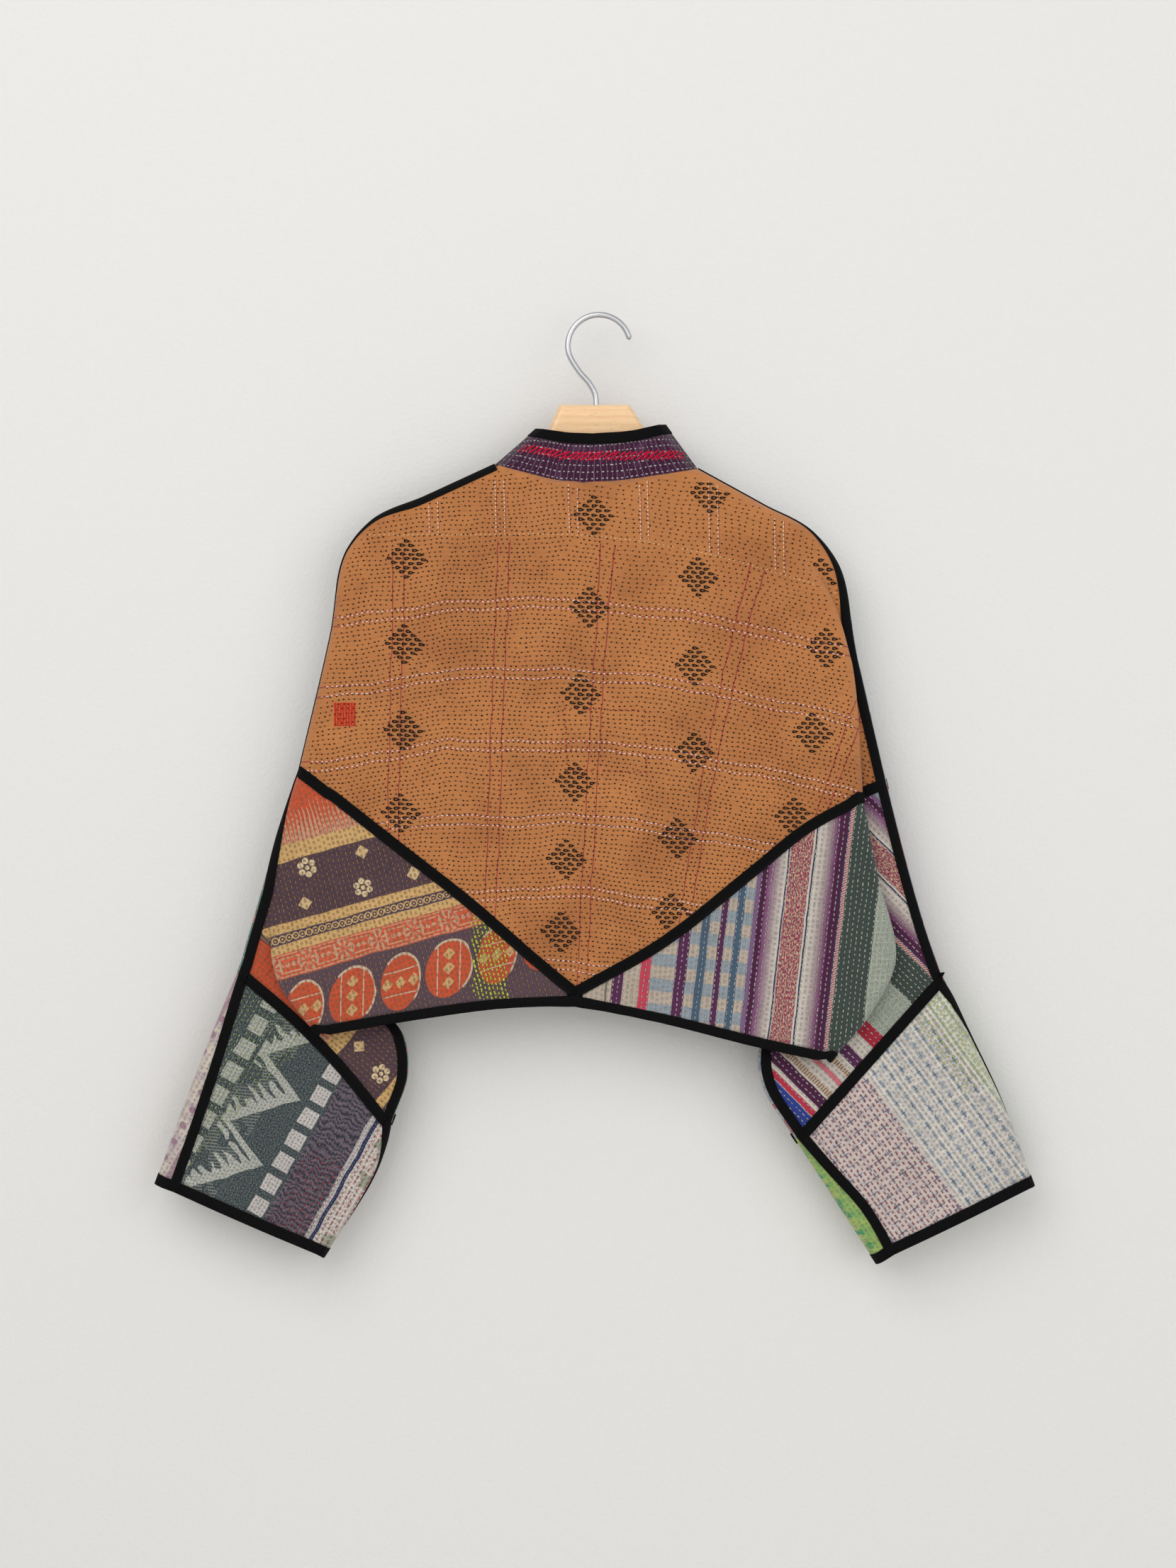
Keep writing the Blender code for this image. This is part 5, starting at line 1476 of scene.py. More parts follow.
@dataclass
class Relief:
    """The height of a shell's outer face, read by rays on a raster, so that threads can lie on it."""

    shell: Shell
    face: Face
    cell: float = 2.5
    reach: float = 120.0

    def __post_init__(self) -> None:
        """Casts one ray for each cell of the raster, from in front of the face."""
        tree = BVHTree.FromPolygons([Vector(point) for point in self.shell.points], self.shell.faces.tolist())
        low = self.shell.points.min(axis=0) - self.cell
        high = self.shell.points.max(axis=0) + self.cell
        self.start = low[[0, 2]]
        counts = np.ceil((high - low)[[0, 2]] / self.cell).astype(int) + 1
        x, z = np.meshgrid(*(self.start[k] + self.cell * np.arange(counts[k]) for k in (0, 1)), indexing="ij")
        way = Vector((0.0, float(self.face.value), 0.0))
        begin = -self.reach * self.face.value
        hits = [tree.ray_cast(Vector((a, begin, b)), way)[0] for a, b in zip(x.ravel(), z.ravel())]
        depth = np.array([math.nan if hit is None else hit[1] for hit in hits]).reshape(x.shape)
        self.depth = depth - self.face.value * self.shell.thickness / 2

    def read(self, field_of: Array, x: Array, z: Array) -> Array:
        """Values of a raster at places between its cells."""
        a = (x - self.start[0]) / self.cell
        b = (z - self.start[1]) / self.cell
        i = np.clip(np.floor(a).astype(int), 0, field_of.shape[0] - 2)
        j = np.clip(np.floor(b).astype(int), 0, field_of.shape[1] - 2)
        a, b = a - i, b - j
        lower = field_of[i, j] * (1 - a) + field_of[i + 1, j] * a
        upper = field_of[i, j + 1] * (1 - a) + field_of[i + 1, j + 1] * a
        return lower * (1 - b) + upper * b

    def sound(self, x: Array, z: Array, margin: float = 5.5, steep: float = 1.4) -> Array:
        """True where the cloth reaches this far round the place, with no fold or edge in between."""
        turns = np.arange(0, math.tau, math.tau / 8)
        around = [(0, 0)] + [(math.cos(turn) * margin, math.sin(turn) * margin) for turn in turns]
        read = np.stack([self.read(self.depth, x + dx, z + dz) for dx, dz in around])
        return np.isfinite(read).all(axis=0) & (np.abs(read - read[:1]).max(axis=0) < steep * margin)

    def frame(self, x: Array, z: Array, angle: Array) -> tuple[Array, Array, Array, Array]:
        """Places on the cloth, with the directions along, across and out of it."""
        step = self.cell
        slope_x = (self.read(self.depth, x + step, z) - self.read(self.depth, x - step, z)) / (2 * step)
        slope_z = (self.read(self.depth, x, z + step) - self.read(self.depth, x, z - step)) / (2 * step)
        place = np.stack([x, self.read(self.depth, x, z), z], axis=-1)
        run_x, run_z = np.cos(angle), np.sin(angle)
        run = unit(np.stack([run_x, slope_x * run_x + slope_z * run_z, run_z], axis=-1))
        out = unit(np.stack([slope_x, -np.ones_like(x), slope_z], axis=-1)) * self.face.value
        return place, run, np.cross(run, out), out


# One plain stitch: its points along, across and out of the cloth, and its triangles
GRAIN = (
    np.array([
        (-0.5, 0, -0.5), (-0.2, -0.5, 0.1), (-0.2, 0.5, 0.1), (-0.2, 0, 1),
        (0.2, -0.5, 0.1), (0.2, 0.5, 0.1), (0.2, 0, 1), (0.5, 0, -0.5),
    ]),
    np.array([(0, 1, 3), (0, 3, 2), (1, 4, 6), (1, 6, 3), (3, 6, 5), (3, 5, 2), (7, 6, 4), (7, 5, 6)]),
)


def loop_form(sides: int = 9, wire: float = 0.21) -> tuple[Array, Array]:
    """A detached chain stitch: an oval ring drawn to a point, as a tube of three sides, with a short tail.

    Args:
        sides: how many points the ring has.
        wire: how far the tube's sides lie from the ring.

    Returns:
        Its points along, across and out of the cloth, and its triangles.
    """
    turn = np.arange(sides) * math.tau / sides
    wide = 0.40 * np.sin(turn) * (1 - 0.25 * np.cos(turn))
    ring = np.stack([0.42 * np.cos(turn) + 0.08 * np.cos(2 * turn), wide], axis=1)
    outward = unit(ring)
    tube = []
    for angle in (0.4, 2.6, 4.7):
        plane = ring + outward * wire * math.cos(angle)
        tube.append(np.column_stack([plane, np.full(sides, 0.35 + 0.65 * math.sin(angle))]))
    points = np.stack(tube, axis=1).reshape(-1, 3)
    faces = []
    for k in range(sides):
        for m in range(3):
            a, b = 3 * k + m, 3 * k + (m + 1) % 3
            c, d = 3 * ((k + 1) % sides) + m, 3 * ((k + 1) % sides) + (m + 1) % 3
            faces += [(a, c, b), (b, c, d)]
    tail = GRAIN[0] * (0.55, 0.3, 0.9) + (0.66, -0.05, 0.0)
    return np.concatenate([points, tail]), np.concatenate([faces, GRAIN[1] + len(points)])


@dataclass(frozen=True)
class Thread(Finish):
    """Spun cotton thread of one colour."""

    ending: ClassVar[str] = ""
    colour: tuple[float, float, float]
    roughness: float = 0.75

    def dress(self, graph: Graph, shader: bpy.types.Node) -> None:
        """A fine twist in the tone, from noise at the size of a fibre, with a soft sheen."""
        twist = graph.shade(graph.noise(graph.place(), 1500.0, 2.0) * 0.7 + 0.6)
        colour = graph.mix(1.0, self.colour, twist, "MULTIPLY")
        graph.give(shader, Base_Color=colour, Roughness=self.roughness, Specular_IOR_Level=0.2)


@dataclass
class Sewing:
    """Many stitches of one thread as one piece, lying on a shell's outer face."""

    name: str
    thread: Thread
    relief: Relief
    slot: str = "kantha_ochre"
    places: list = field(default_factory=list)

    def add(self, form: tuple[Array, Array], x: Array, z: Array, *sizes: Array, margin: float = 5.5) -> None:
        """Places a form at x and z wherever the cloth is sound.

        Args:
            form: the stitch's points and triangles.
            x, z: where the stitches lie.
            sizes: the angle, length, width and height of the stitches.
            margin: how far round a stitch the cloth has to reach.
        """
        given = np.broadcast_arrays(*(np.asarray(value, float) for value in (x, z, *sizes)))
        keep = self.relief.sound(given[0], given[1], margin)
        x, z, angle, length, width, height = (value[keep] for value in given)
        place, run, across, out = self.relief.frame(x, z, angle)
        points, faces = form
        made = place[:, None] + run[:, None] * (points[None, :, :1] * length[:, None, None])
        made = made + across[:, None] * (points[None, :, 1:2] * width[:, None, None])
        made = made + out[:, None] * (points[None, :, 2:] * height[:, None, None])
        self.places.append((made, faces))

    def build(self) -> None:
        """Joins the stitches into one mesh, and binds it to the frame."""
        points, faces, offset = [], [], 0
        for made, form_faces in self.places:
            count, each = made.shape[:2]
            points.append(made.reshape(-1, 3))
            faces.append((form_faces[None] + offset + each * np.arange(count)[:, None, None]).reshape(-1, 3))
            offset += count * each
        mesh = bpy.data.meshes.new(self.name)
        mesh.from_pydata((np.concatenate(points) * MM).tolist(), [], np.concatenate(faces).tolist())
        mesh.shade_smooth()
        mesh.materials.append(self.thread.build())
        piece = placed(self.name, mesh)
        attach(piece, "root")
        LOG.info("%s: %d triangles", self.name, len(mesh.polygons))


def spaced(points: Sequence, pitch: float) -> tuple[Array, Array, Array]:
    """Places at this pitch along a smooth line of x and z, with its direction."""
    points = np.array(points, float)
    length = np.linalg.norm(np.diff(points, axis=0), axis=1).sum()
    line = along(points, steps(max(2, int(length / pitch))))
    run = np.gradient(line, axis=0)
    return line[:, 0], line[:, 1], np.arctan2(run[:, 1], run[:, 0])


@dataclass
class BackSewing:
    """The sewing that shows on the back: rows, diamonds of chain stitches, whipped joins and a small darn."""

    shell: Shell
    pitch: float = 4.1
    period: float = 5.0
    first_row: int = 28
    last_row: int = 164
    half_row: int = 62
    missing: float = 0.03
    mend: tuple = ((-31, -359), (41, -361), (43, -417), (-29, -415))
    diamonds: tuple = (
        (-176, -222), (-178, -300), (-179, -379), (-181, -454),
        (-5, -183), (-9, -267), (-17, -346), (-22, -426), (-30, -496), (-35, -562),
        (101, -162), (90, -239), (87, -320), (86, -399), (71, -477), (65, -545),
        (214, -228), (206, -304), (193, -381), (177, -458),
    )

    def rows(self, relief: Relief) -> None:
        """Running stitches: numbered rows of the flat cloth, each with its own phase and small slips."""
        rng = np.random.default_rng(SEED)
        numbers = np.arange(self.first_row, self.last_row + 1)
        row, step = np.meshgrid(numbers, np.arange(-self.half_row, self.half_row), indexing="ij")
        shift = rng.uniform(0, 1, row.shape[0])[:, None]
        u = (step + shift + rng.normal(0, 0.10, row.shape)) * self.period
        v = (row + 0.5) * self.pitch + rng.normal(0, 0.16, row.shape)
        x, z = ochre_place(u, v)
        near = np.zeros(x.shape, bool)
        for place_x, place_z in self.diamonds:
            near |= np.abs(x - place_x) / 19 + np.abs(z - place_z) / 21 < 1
        keep = ~near & (rng.uniform(0, 1, x.shape) > self.missing)
        ahead_x, ahead_z = ochre_place(u + 1, v)
        angle = np.arctan2(ahead_z - z, ahead_x - x) + rng.normal(0, 0.09, x.shape)
        length = rng.normal(2.35, 0.28, x.shape)
        sewing = Sewing("stitches_back_rows", Thread("thread_black", BLACK_THREAD), relief)
        sizes = (length[keep], rng.normal(1.2, 0.12, keep.sum()), 0.7)
        sewing.add(GRAIN, x[keep], z[keep], angle[keep], *sizes, margin=2.4)
        sewing.build()

    def chains(self, relief: Relief) -> None:
        """Diamonds of five by five black chain stitches."""
        rng = np.random.default_rng(SEED + 1)
        i, j = np.meshgrid(np.arange(-2, 3), np.arange(-2, 3), indexing="ij")
        across = ((i - j) * 3.9).ravel()
        down = ((i + j) * 4.1).ravel()
        centres = np.array(self.diamonds, float)
        count = (len(centres), across.size)
        x = (centres[:, :1] + across + rng.normal(0, 0.22, count)).ravel()
        z = (centres[:, 1:] + down + rng.normal(0, 0.2, count) - across * 0.05).ravel()
        sewing = Sewing("stitches_back_diamonds", Thread("thread_black", BLACK_THREAD), relief)
        angle = rng.normal(-0.08, 0.14, x.size)
        length = rng.normal(4.6, 0.3, x.size)
        sewing.add(loop_form(), x, z, angle, length, rng.normal(2.5, 0.2, x.size), 0.95, margin=4.6)
        sewing.build()

    def level(self, relief: Relief, rng: np.random.Generator) -> Sewing:
        """Cream thread over the level pairs of lines."""
        sewing = Sewing("stitches_back_cream", Thread("thread_cream", srgb(226, 208, 184)), relief)
        for v in LEVEL_LINES:
            u = np.arange(-290, 300, 4.6)
            u = u + rng.normal(0, 0.3, u.size)
            x, z = ochre_place(u, np.full(u.size, float(v)))
            ahead_x, ahead_z = ochre_place(u + 1, np.full(u.size, float(v)))
            angle = np.arctan2(ahead_z - z, ahead_x - x)
            sewing.add(GRAIN, x, z, angle, rng.normal(3.4, 0.3, u.size), 1.05, 0.7, margin=2.4)
        return sewing

    def pale(self, relief: Relief) -> None:
        """Cream thread over the printed lines, rust beside the upright ones, and the yoke's whipped join."""
        rng = np.random.default_rng(SEED + 2)
        sewing = self.level(relief, rng)
        red = Sewing("stitches_back_yoke", Thread("thread_rust", DARK_RED), relief)
        for x in YOKE_LINES:
            low = yoke_join(x) + 3
            sewing.add(GRAIN, *spaced([(x, -152), (x + 1.0, low)], 3.6), 2.9, 1.0, 0.65, margin=3.0)
            red.add(GRAIN, *spaced([(x + 0.9, -152), (x + 1.9, low)], 2.2), 3.0, 0.5, 0.3, margin=3.0)
        red.build()
        sewing.build()
        whip = Sewing("stitches_back_join", Thread("thread_straw", srgb(226, 190, 140)), relief)
        x, z, angle = spaced([(x, yoke_join(x)) for x in np.arange(-236, 240, 12.0)], 4.4)
        whip.add(GRAIN, x, z, angle + 0.75 + rng.normal(0, 0.3, x.size), 2.8, 0.75, 0.6, margin=4.6)
        whip.build()

    def darn(self, relief: Relief) -> None:
        """A small plain red darn, and the dark red crosses round a square mend."""
        rng = np.random.default_rng(SEED + 3)
        red = Sewing("stitches_back_darn", Thread("thread_red", srgb(196, 34, 26)), relief)
        x, z = np.meshgrid(-241 + 2.5 * np.arange(8), -354 - 1.35 * np.arange(16), indexing="ij")
        x = x.ravel() + rng.normal(0, 0.15, x.size)
        red.add(GRAIN, x, z.ravel(), rng.normal(0, 0.06, x.size), 3.2, 1.15, 0.8, margin=3.0)
        red.build()
        dark = Sewing("stitches_back_mend", Thread("thread_dark_red", srgb(140, 60, 54)), relief)
        for start, stop in zip(self.mend, self.mend[1:] + self.mend[:1]):
            x, z, angle = spaced([start, stop], 5.2)
            for turn in (0.8, -0.8):
                dark.add(GRAIN, x, z, angle + turn, 3.4, 0.85, 0.6, margin=4.6)
        dark.build()

    def build(self) -> None:
        """Reads the cloth's relief once, and sews everything on it."""
        relief = Relief(self.shell, Face.BACK)
        self.rows(relief)
        self.chains(relief)
        self.pale(relief)
        self.darn(relief)


def hang(shell: Shell, node: str) -> None:
    cloth = CLOTHS[node]
    piece = shell.build(cloth.build(), [node], cloth.name)


def turned_flat(points: Array, angle: float, start: float) -> Array:
    """Flat coordinates turned by an angle in degrees, with v raised by its start."""
    x = points[..., 0]
    drop = -points[..., 2]
    cos, sin = math.cos(math.radians(angle)), math.sin(math.radians(angle))
    return np.stack([x * cos - drop * sin, drop * cos + x * sin + start], axis=-1)


@dataclass
class PanelSet:
    """The cloth panels: the back, the two fronts, the side panels with their sleeves, and the cuffs."""

    sides: dict[str, Side]

    def flat_ochre(self, grid: Array) -> Array:
        """The back's printed lines turn a little clockwise towards its right edge, as the cloth was cut."""
        return np.stack(ochre_flat(grid[..., 0], -grid[..., 2]), axis=-1)

    def flat_vermilion(self, points: Array) -> tuple[Array, Array]:
        """Bands rise to the right at 15.6 degrees on the body, and stand at 50 degrees on the sleeve."""
        return turned_flat(points, 15.6, 60.2), turned_flat(points, 50.0, 212.9)

    def flat_stripes(self, points: Array) -> tuple[Array, Array]:
        """Stripes lean 6.6 degrees on the body, and run down at 45 degrees on the sleeve."""
        x = points[..., 0]
        drop = -points[..., 2]
        body = np.stack([x + 0.115 * (drop - 619.7), drop - 0.115 * x], axis=-1)
        half = math.sqrt(0.5)
        return body, np.stack([(drop - x) * half, (drop + x) * half], axis=-1)

    def turned(self, rows: int, columns: int) -> Array:
        """One on the sleeve's columns beyond the hidden crease, and 0 on the body."""
        start = BODY_COLUMNS + 3 * FINE
        column = np.clip((np.arange(columns) - start) / (FINE / 2), 0, 1)
        return np.broadcast_to(column, (rows, columns))

    def side_shell(self, name: str, side: Side, face: Face) -> Shell:
        """Body rows down to the hem, and below it the sleeve's rows beyond the hidden crease.

        Args:
            name: the piece's name.
            side: the side of the jacket.
            face: the back or the front.

        Returns:
            The shell; its flat coordinates turn with the grain from the body to the sleeve.
        """
        upper = side.side_panel(face)
        lower = side.sleeve(face)
        rows, columns = upper.shape[:2]
        sleeve = lower.shape[1]
        start = (rows - 1) * columns + columns - sleeve
        offset = rows * columns
        first = np.arange(sleeve - 1)
        bridge = np.stack([start + first, start + first + 1, offset + first + 1, offset + first], axis=1)
        faces = np.concatenate([grid_faces(rows, columns), bridge, grid_faces(len(lower), sleeve, offset)])
        points = np.concatenate([upper.reshape(-1, 3), lower.reshape(-1, 3)])
        opened = np.clip(side.opened("side", steps(rows - 1)) * 4 - 2.4, 0, 1)[:, None]
        turned = [(self.turned(rows, columns) * opened).ravel(), np.ones(lower.shape[0] * sleeve)]
        turned = np.concatenate(turned)[:, None]
        if face is Face.FRONT:
            flat = plain_flat(points)
        else:
            body, arm = (self.flat_vermilion if side.name == "left" else self.flat_stripes)(points)
            flat = body * (1 - turned) + arm * turned
        return Shell(name, points, faces, flat)

    def cuff_flat(self, grid: Array, side: Side) -> Array:
        """Flat coordinates of a cuff, along the grain of its cloth: across it, and down it."""
        x0, z0, run_x, run_z = CUFF_GRAIN[side.name]
        x = grid[..., 0] - x0
        z = grid[..., 2] - z0
        return np.stack([run_x * z - run_z * x, run_x * x + run_z * z], axis=-1)

    def build(self) -> None:
        """Makes every panel."""
        left, right = (self.sides[name].yoke(Face.BACK) for name in ("left", "right"))
        whole = np.concatenate([left[:, :0:-1], right], axis=1)
        shell = grid_shell("cloth_back_center", whole, self.flat_ochre(whole))
        hang(shell, "back_center")
        BackSewing(shell).build()
        for name, side in self.sides.items():
            front = side.yoke(Face.FRONT)
            hang(grid_shell("cloth_front_" + name, front, plain_flat(front)), "front_" + name)
            for face in Face:
                node = f"{face.word}_side_{name}"
                hang(self.side_shell("cloth_" + node, side, face), node)
                node = f"{face.word}_cuff_{name}"
                grid = side.cuff(face)
                hang(grid_shell("cloth_" + node, grid, self.cuff_flat(grid, side)), node)


def laid(row: Array, way: Array, gap: float = TAPE_GAP) -> Array:
    """A flat tape beside a row of points, which starts a gap away from them."""
    return np.stack([row + way * (gap + TAPE_WIDTH * share) for share in steps(TAPE_STEPS)])


@dataclass
class Bindings:
    """The black tapes over the seams and round the edges."""

    sides: dict[str, Side]

    def strip(
        self, name: str, grid: Array, thickness: float, nodes: Sequence[str], closed: bool = False
    ) -> None:
        """One tape, with its lengths along and across as flat coordinates.

        Args:
            name: the piece's name.
            grid: its points; the first axis runs across the tape and the second along it.
            thickness: how thick it is.
            nodes: the solids that it replaces.
            closed: True for a ring.
        """
        gaps = [np.linalg.norm(np.diff(grid, axis=axis), axis=2) for axis in (0, 1)]
        across, run = (np.cumsum(np.insert(gaps[axis], 0, 0.0, axis=axis), axis=axis) for axis in (0, 1))
        shell = grid_shell(name, grid, np.stack([run, across], axis=-1), thickness, closed)
        piece = shell.build(BlackTape().build(), nodes, BlackTape.name)

    def edge(self, side: Side, regions: Sequence[tuple[str, Array]], low: bool = False) -> Array:
        """The tape over the top seam or the underarm seam, wrapped round the sleeve's edge."""
        made = []
        half = math.degrees(TAPE_WIDTH / 2 / TAPE_RADIUS)
        reads = (side.edge, side.inward, side.seam)
        if low:
            reads = (side.low_line, side.low_inward, side.low_seam)
        for region, rows in regions:
            line, inward, angles = (read(region, rows) for read in reads)
            turns = [angles + half * share for share in steps(WRAP_STEPS, 1, -1)]
            strips = [round_edge(line, inward, turn, TAPE_RADIUS) for turn in turns]
            made.append(np.stack(strips, axis=1))
        return np.swapaxes(np.concatenate(made), 0, 1)

    def over_row(self, side: Side, face: Face, row: Array, before: Array, soft: int = 0) -> Array:
        """A strip lying on both sides of a seam, raised off the cloth.

        Args:
            side: the side of the jacket.
            face: the face the strip lies on.
            row: the seam's points.
            before: the points of a row of cloth beside it.
            soft: how many places the strip's direction is evened over, or 0.

        Returns:
            The strip, across and along.
        """
        down = unit(row - before)
        if soft:
            padded = np.pad(down, ((soft // 2, soft // 2), (0, 0)), mode="edge")
            down = unit(np.stack([padded[k : k + len(down)] for k in range(soft)]).mean(axis=0))
        run = unit(np.gradient(row, axis=0))
        outward = unit(np.cross(run, -down)) * side.sign * face.value
        slant = np.linalg.norm(np.cross(run, down), axis=1)
        reach = (TAPE_WIDTH / 2 / np.clip(slant, 0.5, 1))[:, None]
        raised = row + outward * TAPE_OFFSET
        return np.stack([raised + down * reach * share for share in steps(SEAM_TAPE_STEPS, -1, 1)])

    def v_tape(self, side: Side, face: Face) -> Array:
        """The tape over the V seam, from the centre through the pleat to the sleeve's edge."""
        grid = side.yoke(face)
        last = BODY_COLUMNS + PLEAT_COLUMNS * FINE + EDGE_STEPS * FINE // 2
        soft = 0 if side.table["yoke_pleat"][-1] else 2 * FINE + 1
        strip = self.over_row(side, face, grid[-1, : last + 1], grid[-4, : last + 1], soft)
        hem = along(side.table["hem"], steps(LONG_STEPS)) + np.array([0.0, TAPE_WIDTH])
        order = np.argsort(hem[:, 0])
        floor = np.interp(strip[..., 0], hem[order, 0], hem[order, 1])
        near = np.abs(strip[..., 0] - V_TIP[0]) < TIP_REACH
        strip[..., 2] = np.where(near, np.maximum(strip[..., 2], floor + TIP_ROOM), strip[..., 2])
        return strip

    def forearm(self, side: Side, face: Face) -> Array:
        """The tape over the forearm seam."""
        grid = refined(side.tube("forearm", steps(FOREARM_ROWS), face), FINE)
        ends = slice(FINE, grid.shape[1] - FINE * 3)
        return self.over_row(side, face, grid[-1, ends], grid[-5, ends])

    def hem(self, side: Side, face: Face) -> Array:
        """The hem's tape below one side panel, to the hidden crease."""
        grid = side.side_panel(face)[:, : BODY_COLUMNS + 3 * FINE]
        down = unit(grid[-1] - grid[-3])
        down[BODY_COLUMNS - 4 :] = down[BODY_COLUMNS - 4]
        return laid(grid[-1], down)

    def cuff_hem(self, side: Side) -> Array:
        """The tape round the cuff's open end, as a closed ring."""
        back, front = (laid(grid[-1], unit(grid[-1] - grid[-3]))[:, 1:-1] for grid in map(side.cuff, Face))
        return np.concatenate([back, front[:, ::-1]], axis=1)

    def build(self) -> None:
        """Makes every tape but the collar's."""
        backs = []
        for name, side in self.sides.items():
            top = [("yoke", steps(YOKE_ROWS))]
            top += [("side", steps(SIDE_ROWS)[1:]), ("forearm", steps(TOP_ROWS)[1:])]
            cuff = [("cuff", steps(CUFF_ROWS))]
            for part, regions, low in (
                ("top", top, False),
                ("cuff_top", cuff, False),
                ("underarm", [("forearm", steps(FOREARM_ROWS)[HIDDEN_ROWS:])], True),
                ("cuff_low", cuff, True),
            ):
                nodes = [f"tape_{part}_{name}"]
                self.strip(f"binding_{part}_{name}", self.edge(side, regions, low), TAPE_WALL, nodes)
            nodes = ["tape_cuff_hem_" + name]
            self.strip("binding_cuff_hem_" + name, self.cuff_hem(side), HEM_TAPE_WALL, nodes, True)
            for face in Face:
                nodes = [f"tape_v_{face.word}_{name}"]
                if name == "right":
                    nodes.append(f"tape_v_{face.word}_{name}_sleeve")
                self.strip(f"binding_v_{face.word}_{name}", self.v_tape(side, face), TAPE_WALL, nodes)
                node = f"forearm_{face.word}_{name}"
                self.strip("binding_" + node, self.forearm(side, face), TAPE_WALL, ["tape_" + node])
            backs.append(self.hem(side, Face.BACK))
            middle = self.hem_middle(CENTRE_X + side.sign, Face.FRONT)
            front = np.concatenate([middle, self.hem(side, Face.FRONT)], axis=1)
            self.strip("binding_hem_front_" + name, front, HEM_TAPE_WALL, ["tape_hem_front_" + name])
        middle = self.hem_middle(HEM_CENTRE[0], Face.BACK)
        whole = np.concatenate([backs[0][:, ::-1], middle, backs[1]], axis=1)
        self.strip("binding_hem_back", whole, HEM_TAPE_WALL, ["tape_hem_back"])

    def hem_middle(self, x: float, face: Face) -> Array:
        """The hem's tape at the centre, as one column."""
        top = np.array([x, -face.value * CENTRE_DEPTH, HEM_CENTRE[1] + TAPE_WIDTH])
        return laid(top, np.array([0.0, 0.0, -1.0]), 0.0)[:, None]


@dataclass
class Collar:
    """The band collar with its tape, and the tapes down the front opening that start from it."""

    sides: dict[str, Side]
    bindings: Bindings

    def neck_line(self, side: Side) -> tuple[Array, int]:
        """The collar's lower edge on one side, from the centre back over the shoulder to the front."""
        back, front = (side.yoke(face, NECK_ROWS)[0] for face in Face)
        ridge = np.array([[side.table["yoke_edge"][0][0], 0.0, side.table["yoke_edge"][0][1]]])
        last = BODY_COLUMNS + PLEAT_COLUMNS * FINE
        inner, last = slice(None, BODY_COLUMNS + 1, 2), slice(last, last + 1)
        picked = [back[inner], back[last], ridge, front[last], front[BODY_COLUMNS::-2]]
        return np.concatenate(picked), len(picked[0]) + 1

    def satin(self, shell: Shell, low: Array, rise: Array) -> None:
        """A crimson band of slanted satin stitches along the back of the collar, above its middle.

        Args:
            shell: the collar's cloth.
            low: the line where the collar meets the neck.
            rise: the direction up the collar from each place on that line.
        """
        rng = np.random.default_rng(SEED + 4)
        height = SATIN_HEIGHT - SATIN_FALL * np.clip(low[:, 0] / low[:, 0].max(), 0, 1)
        line = low + rise * height[:, None]
        line = line[line[:, 1] < SATIN_DEPTH]
        places = along(line[:, [0, 2]], steps(int(np.ptp(line[:, 0]) / SATIN_PITCH)))
        x, z = places[:, 0], places[:, 1] + rng.normal(0, 0.25, len(places))
        run = np.gradient(places, axis=0)
        angle = np.arctan2(run[:, 1], run[:, 0]) + np.radians(rng.normal(32.0, 4.0, len(x)))
        thread = Thread("thread_crimson", srgb(192, 6, 48))
        sewing = Sewing("stitches_collar_satin", thread, Relief(shell, Face.BACK, 1.5), "kantha_plum")
        for lift in SATIN_ROWS:
            shifted = x + rng.normal(0, 0.4, len(x))
            length = rng.normal(11.5, 1.2, len(x))
            sewing.add(GRAIN, shifted, z + lift, angle, length, 1.5, 0.9, margin=0.8)
        sewing.build()

    def build(self) -> None:
        """Makes the band, its tape and the tapes of the front edges."""
        lower, upper = [], []
        for name, side in self.sides.items():
            low, ridge_at = self.neck_line(side)
            parts = []
            for part, points in zip((low[: ridge_at + 1], low[ridge_at:]), COLLAR_TOP[name]):
                lengths = run_lengths(part)
                parts.append(along(points, lengths / lengths[-1]))
            top = np.concatenate([parts[0], parts[1][1:]])
            if name == "left":
                low, top = low[:0:-1], top[:0:-1]
            lower.append(low)
            upper.append(top)
        low = np.concatenate(lower)
        top = np.concatenate(upper)
        rise = unit(top - low)
        low = low - rise * COLLAR_SINK
        panel_top = top - rise * (TAPE_WIDTH + TAPE_GAP)
        share = steps(COLLAR_ROWS)[:, None, None]
        panel = low[None] * (1 - share) + panel_top[None] * share
        height = np.linalg.norm(panel - panel[:1], axis=2)
        flat = np.stack([np.broadcast_to(run_lengths(low), height.shape), height], axis=-1)
        shell = grid_shell("cloth_collar", panel, flat)
        hang(shell, "collar")
        self.satin(shell, low, rise)
        tape = np.stack([top - rise * TAPE_WIDTH * share for share in steps(TAPE_STEPS, 1, 0)])
        self.bindings.strip("binding_collar", tape, HEM_TAPE_WALL, ["tape_collar"])
        for name, end in (("left", panel[:, 0]), ("right", panel[:, -1])):
            side = self.sides[name]
            column = side.yoke(Face.FRONT)[:, 0]
            drop = HEM_CENTRE[1] + TAPE_WIDTH + FRONT_END - column[-1][2]
            bottom = column[-1] + np.array([0.0, 0.0, drop])
            line = np.concatenate([end[::-1], column[1:], bottom[None]])
            strip = laid(line, np.array([-side.sign, 0.0, 0.0]))
            self.bindings.strip("binding_front_" + name, strip, HEM_TAPE_WALL, ["tape_front_" + name])


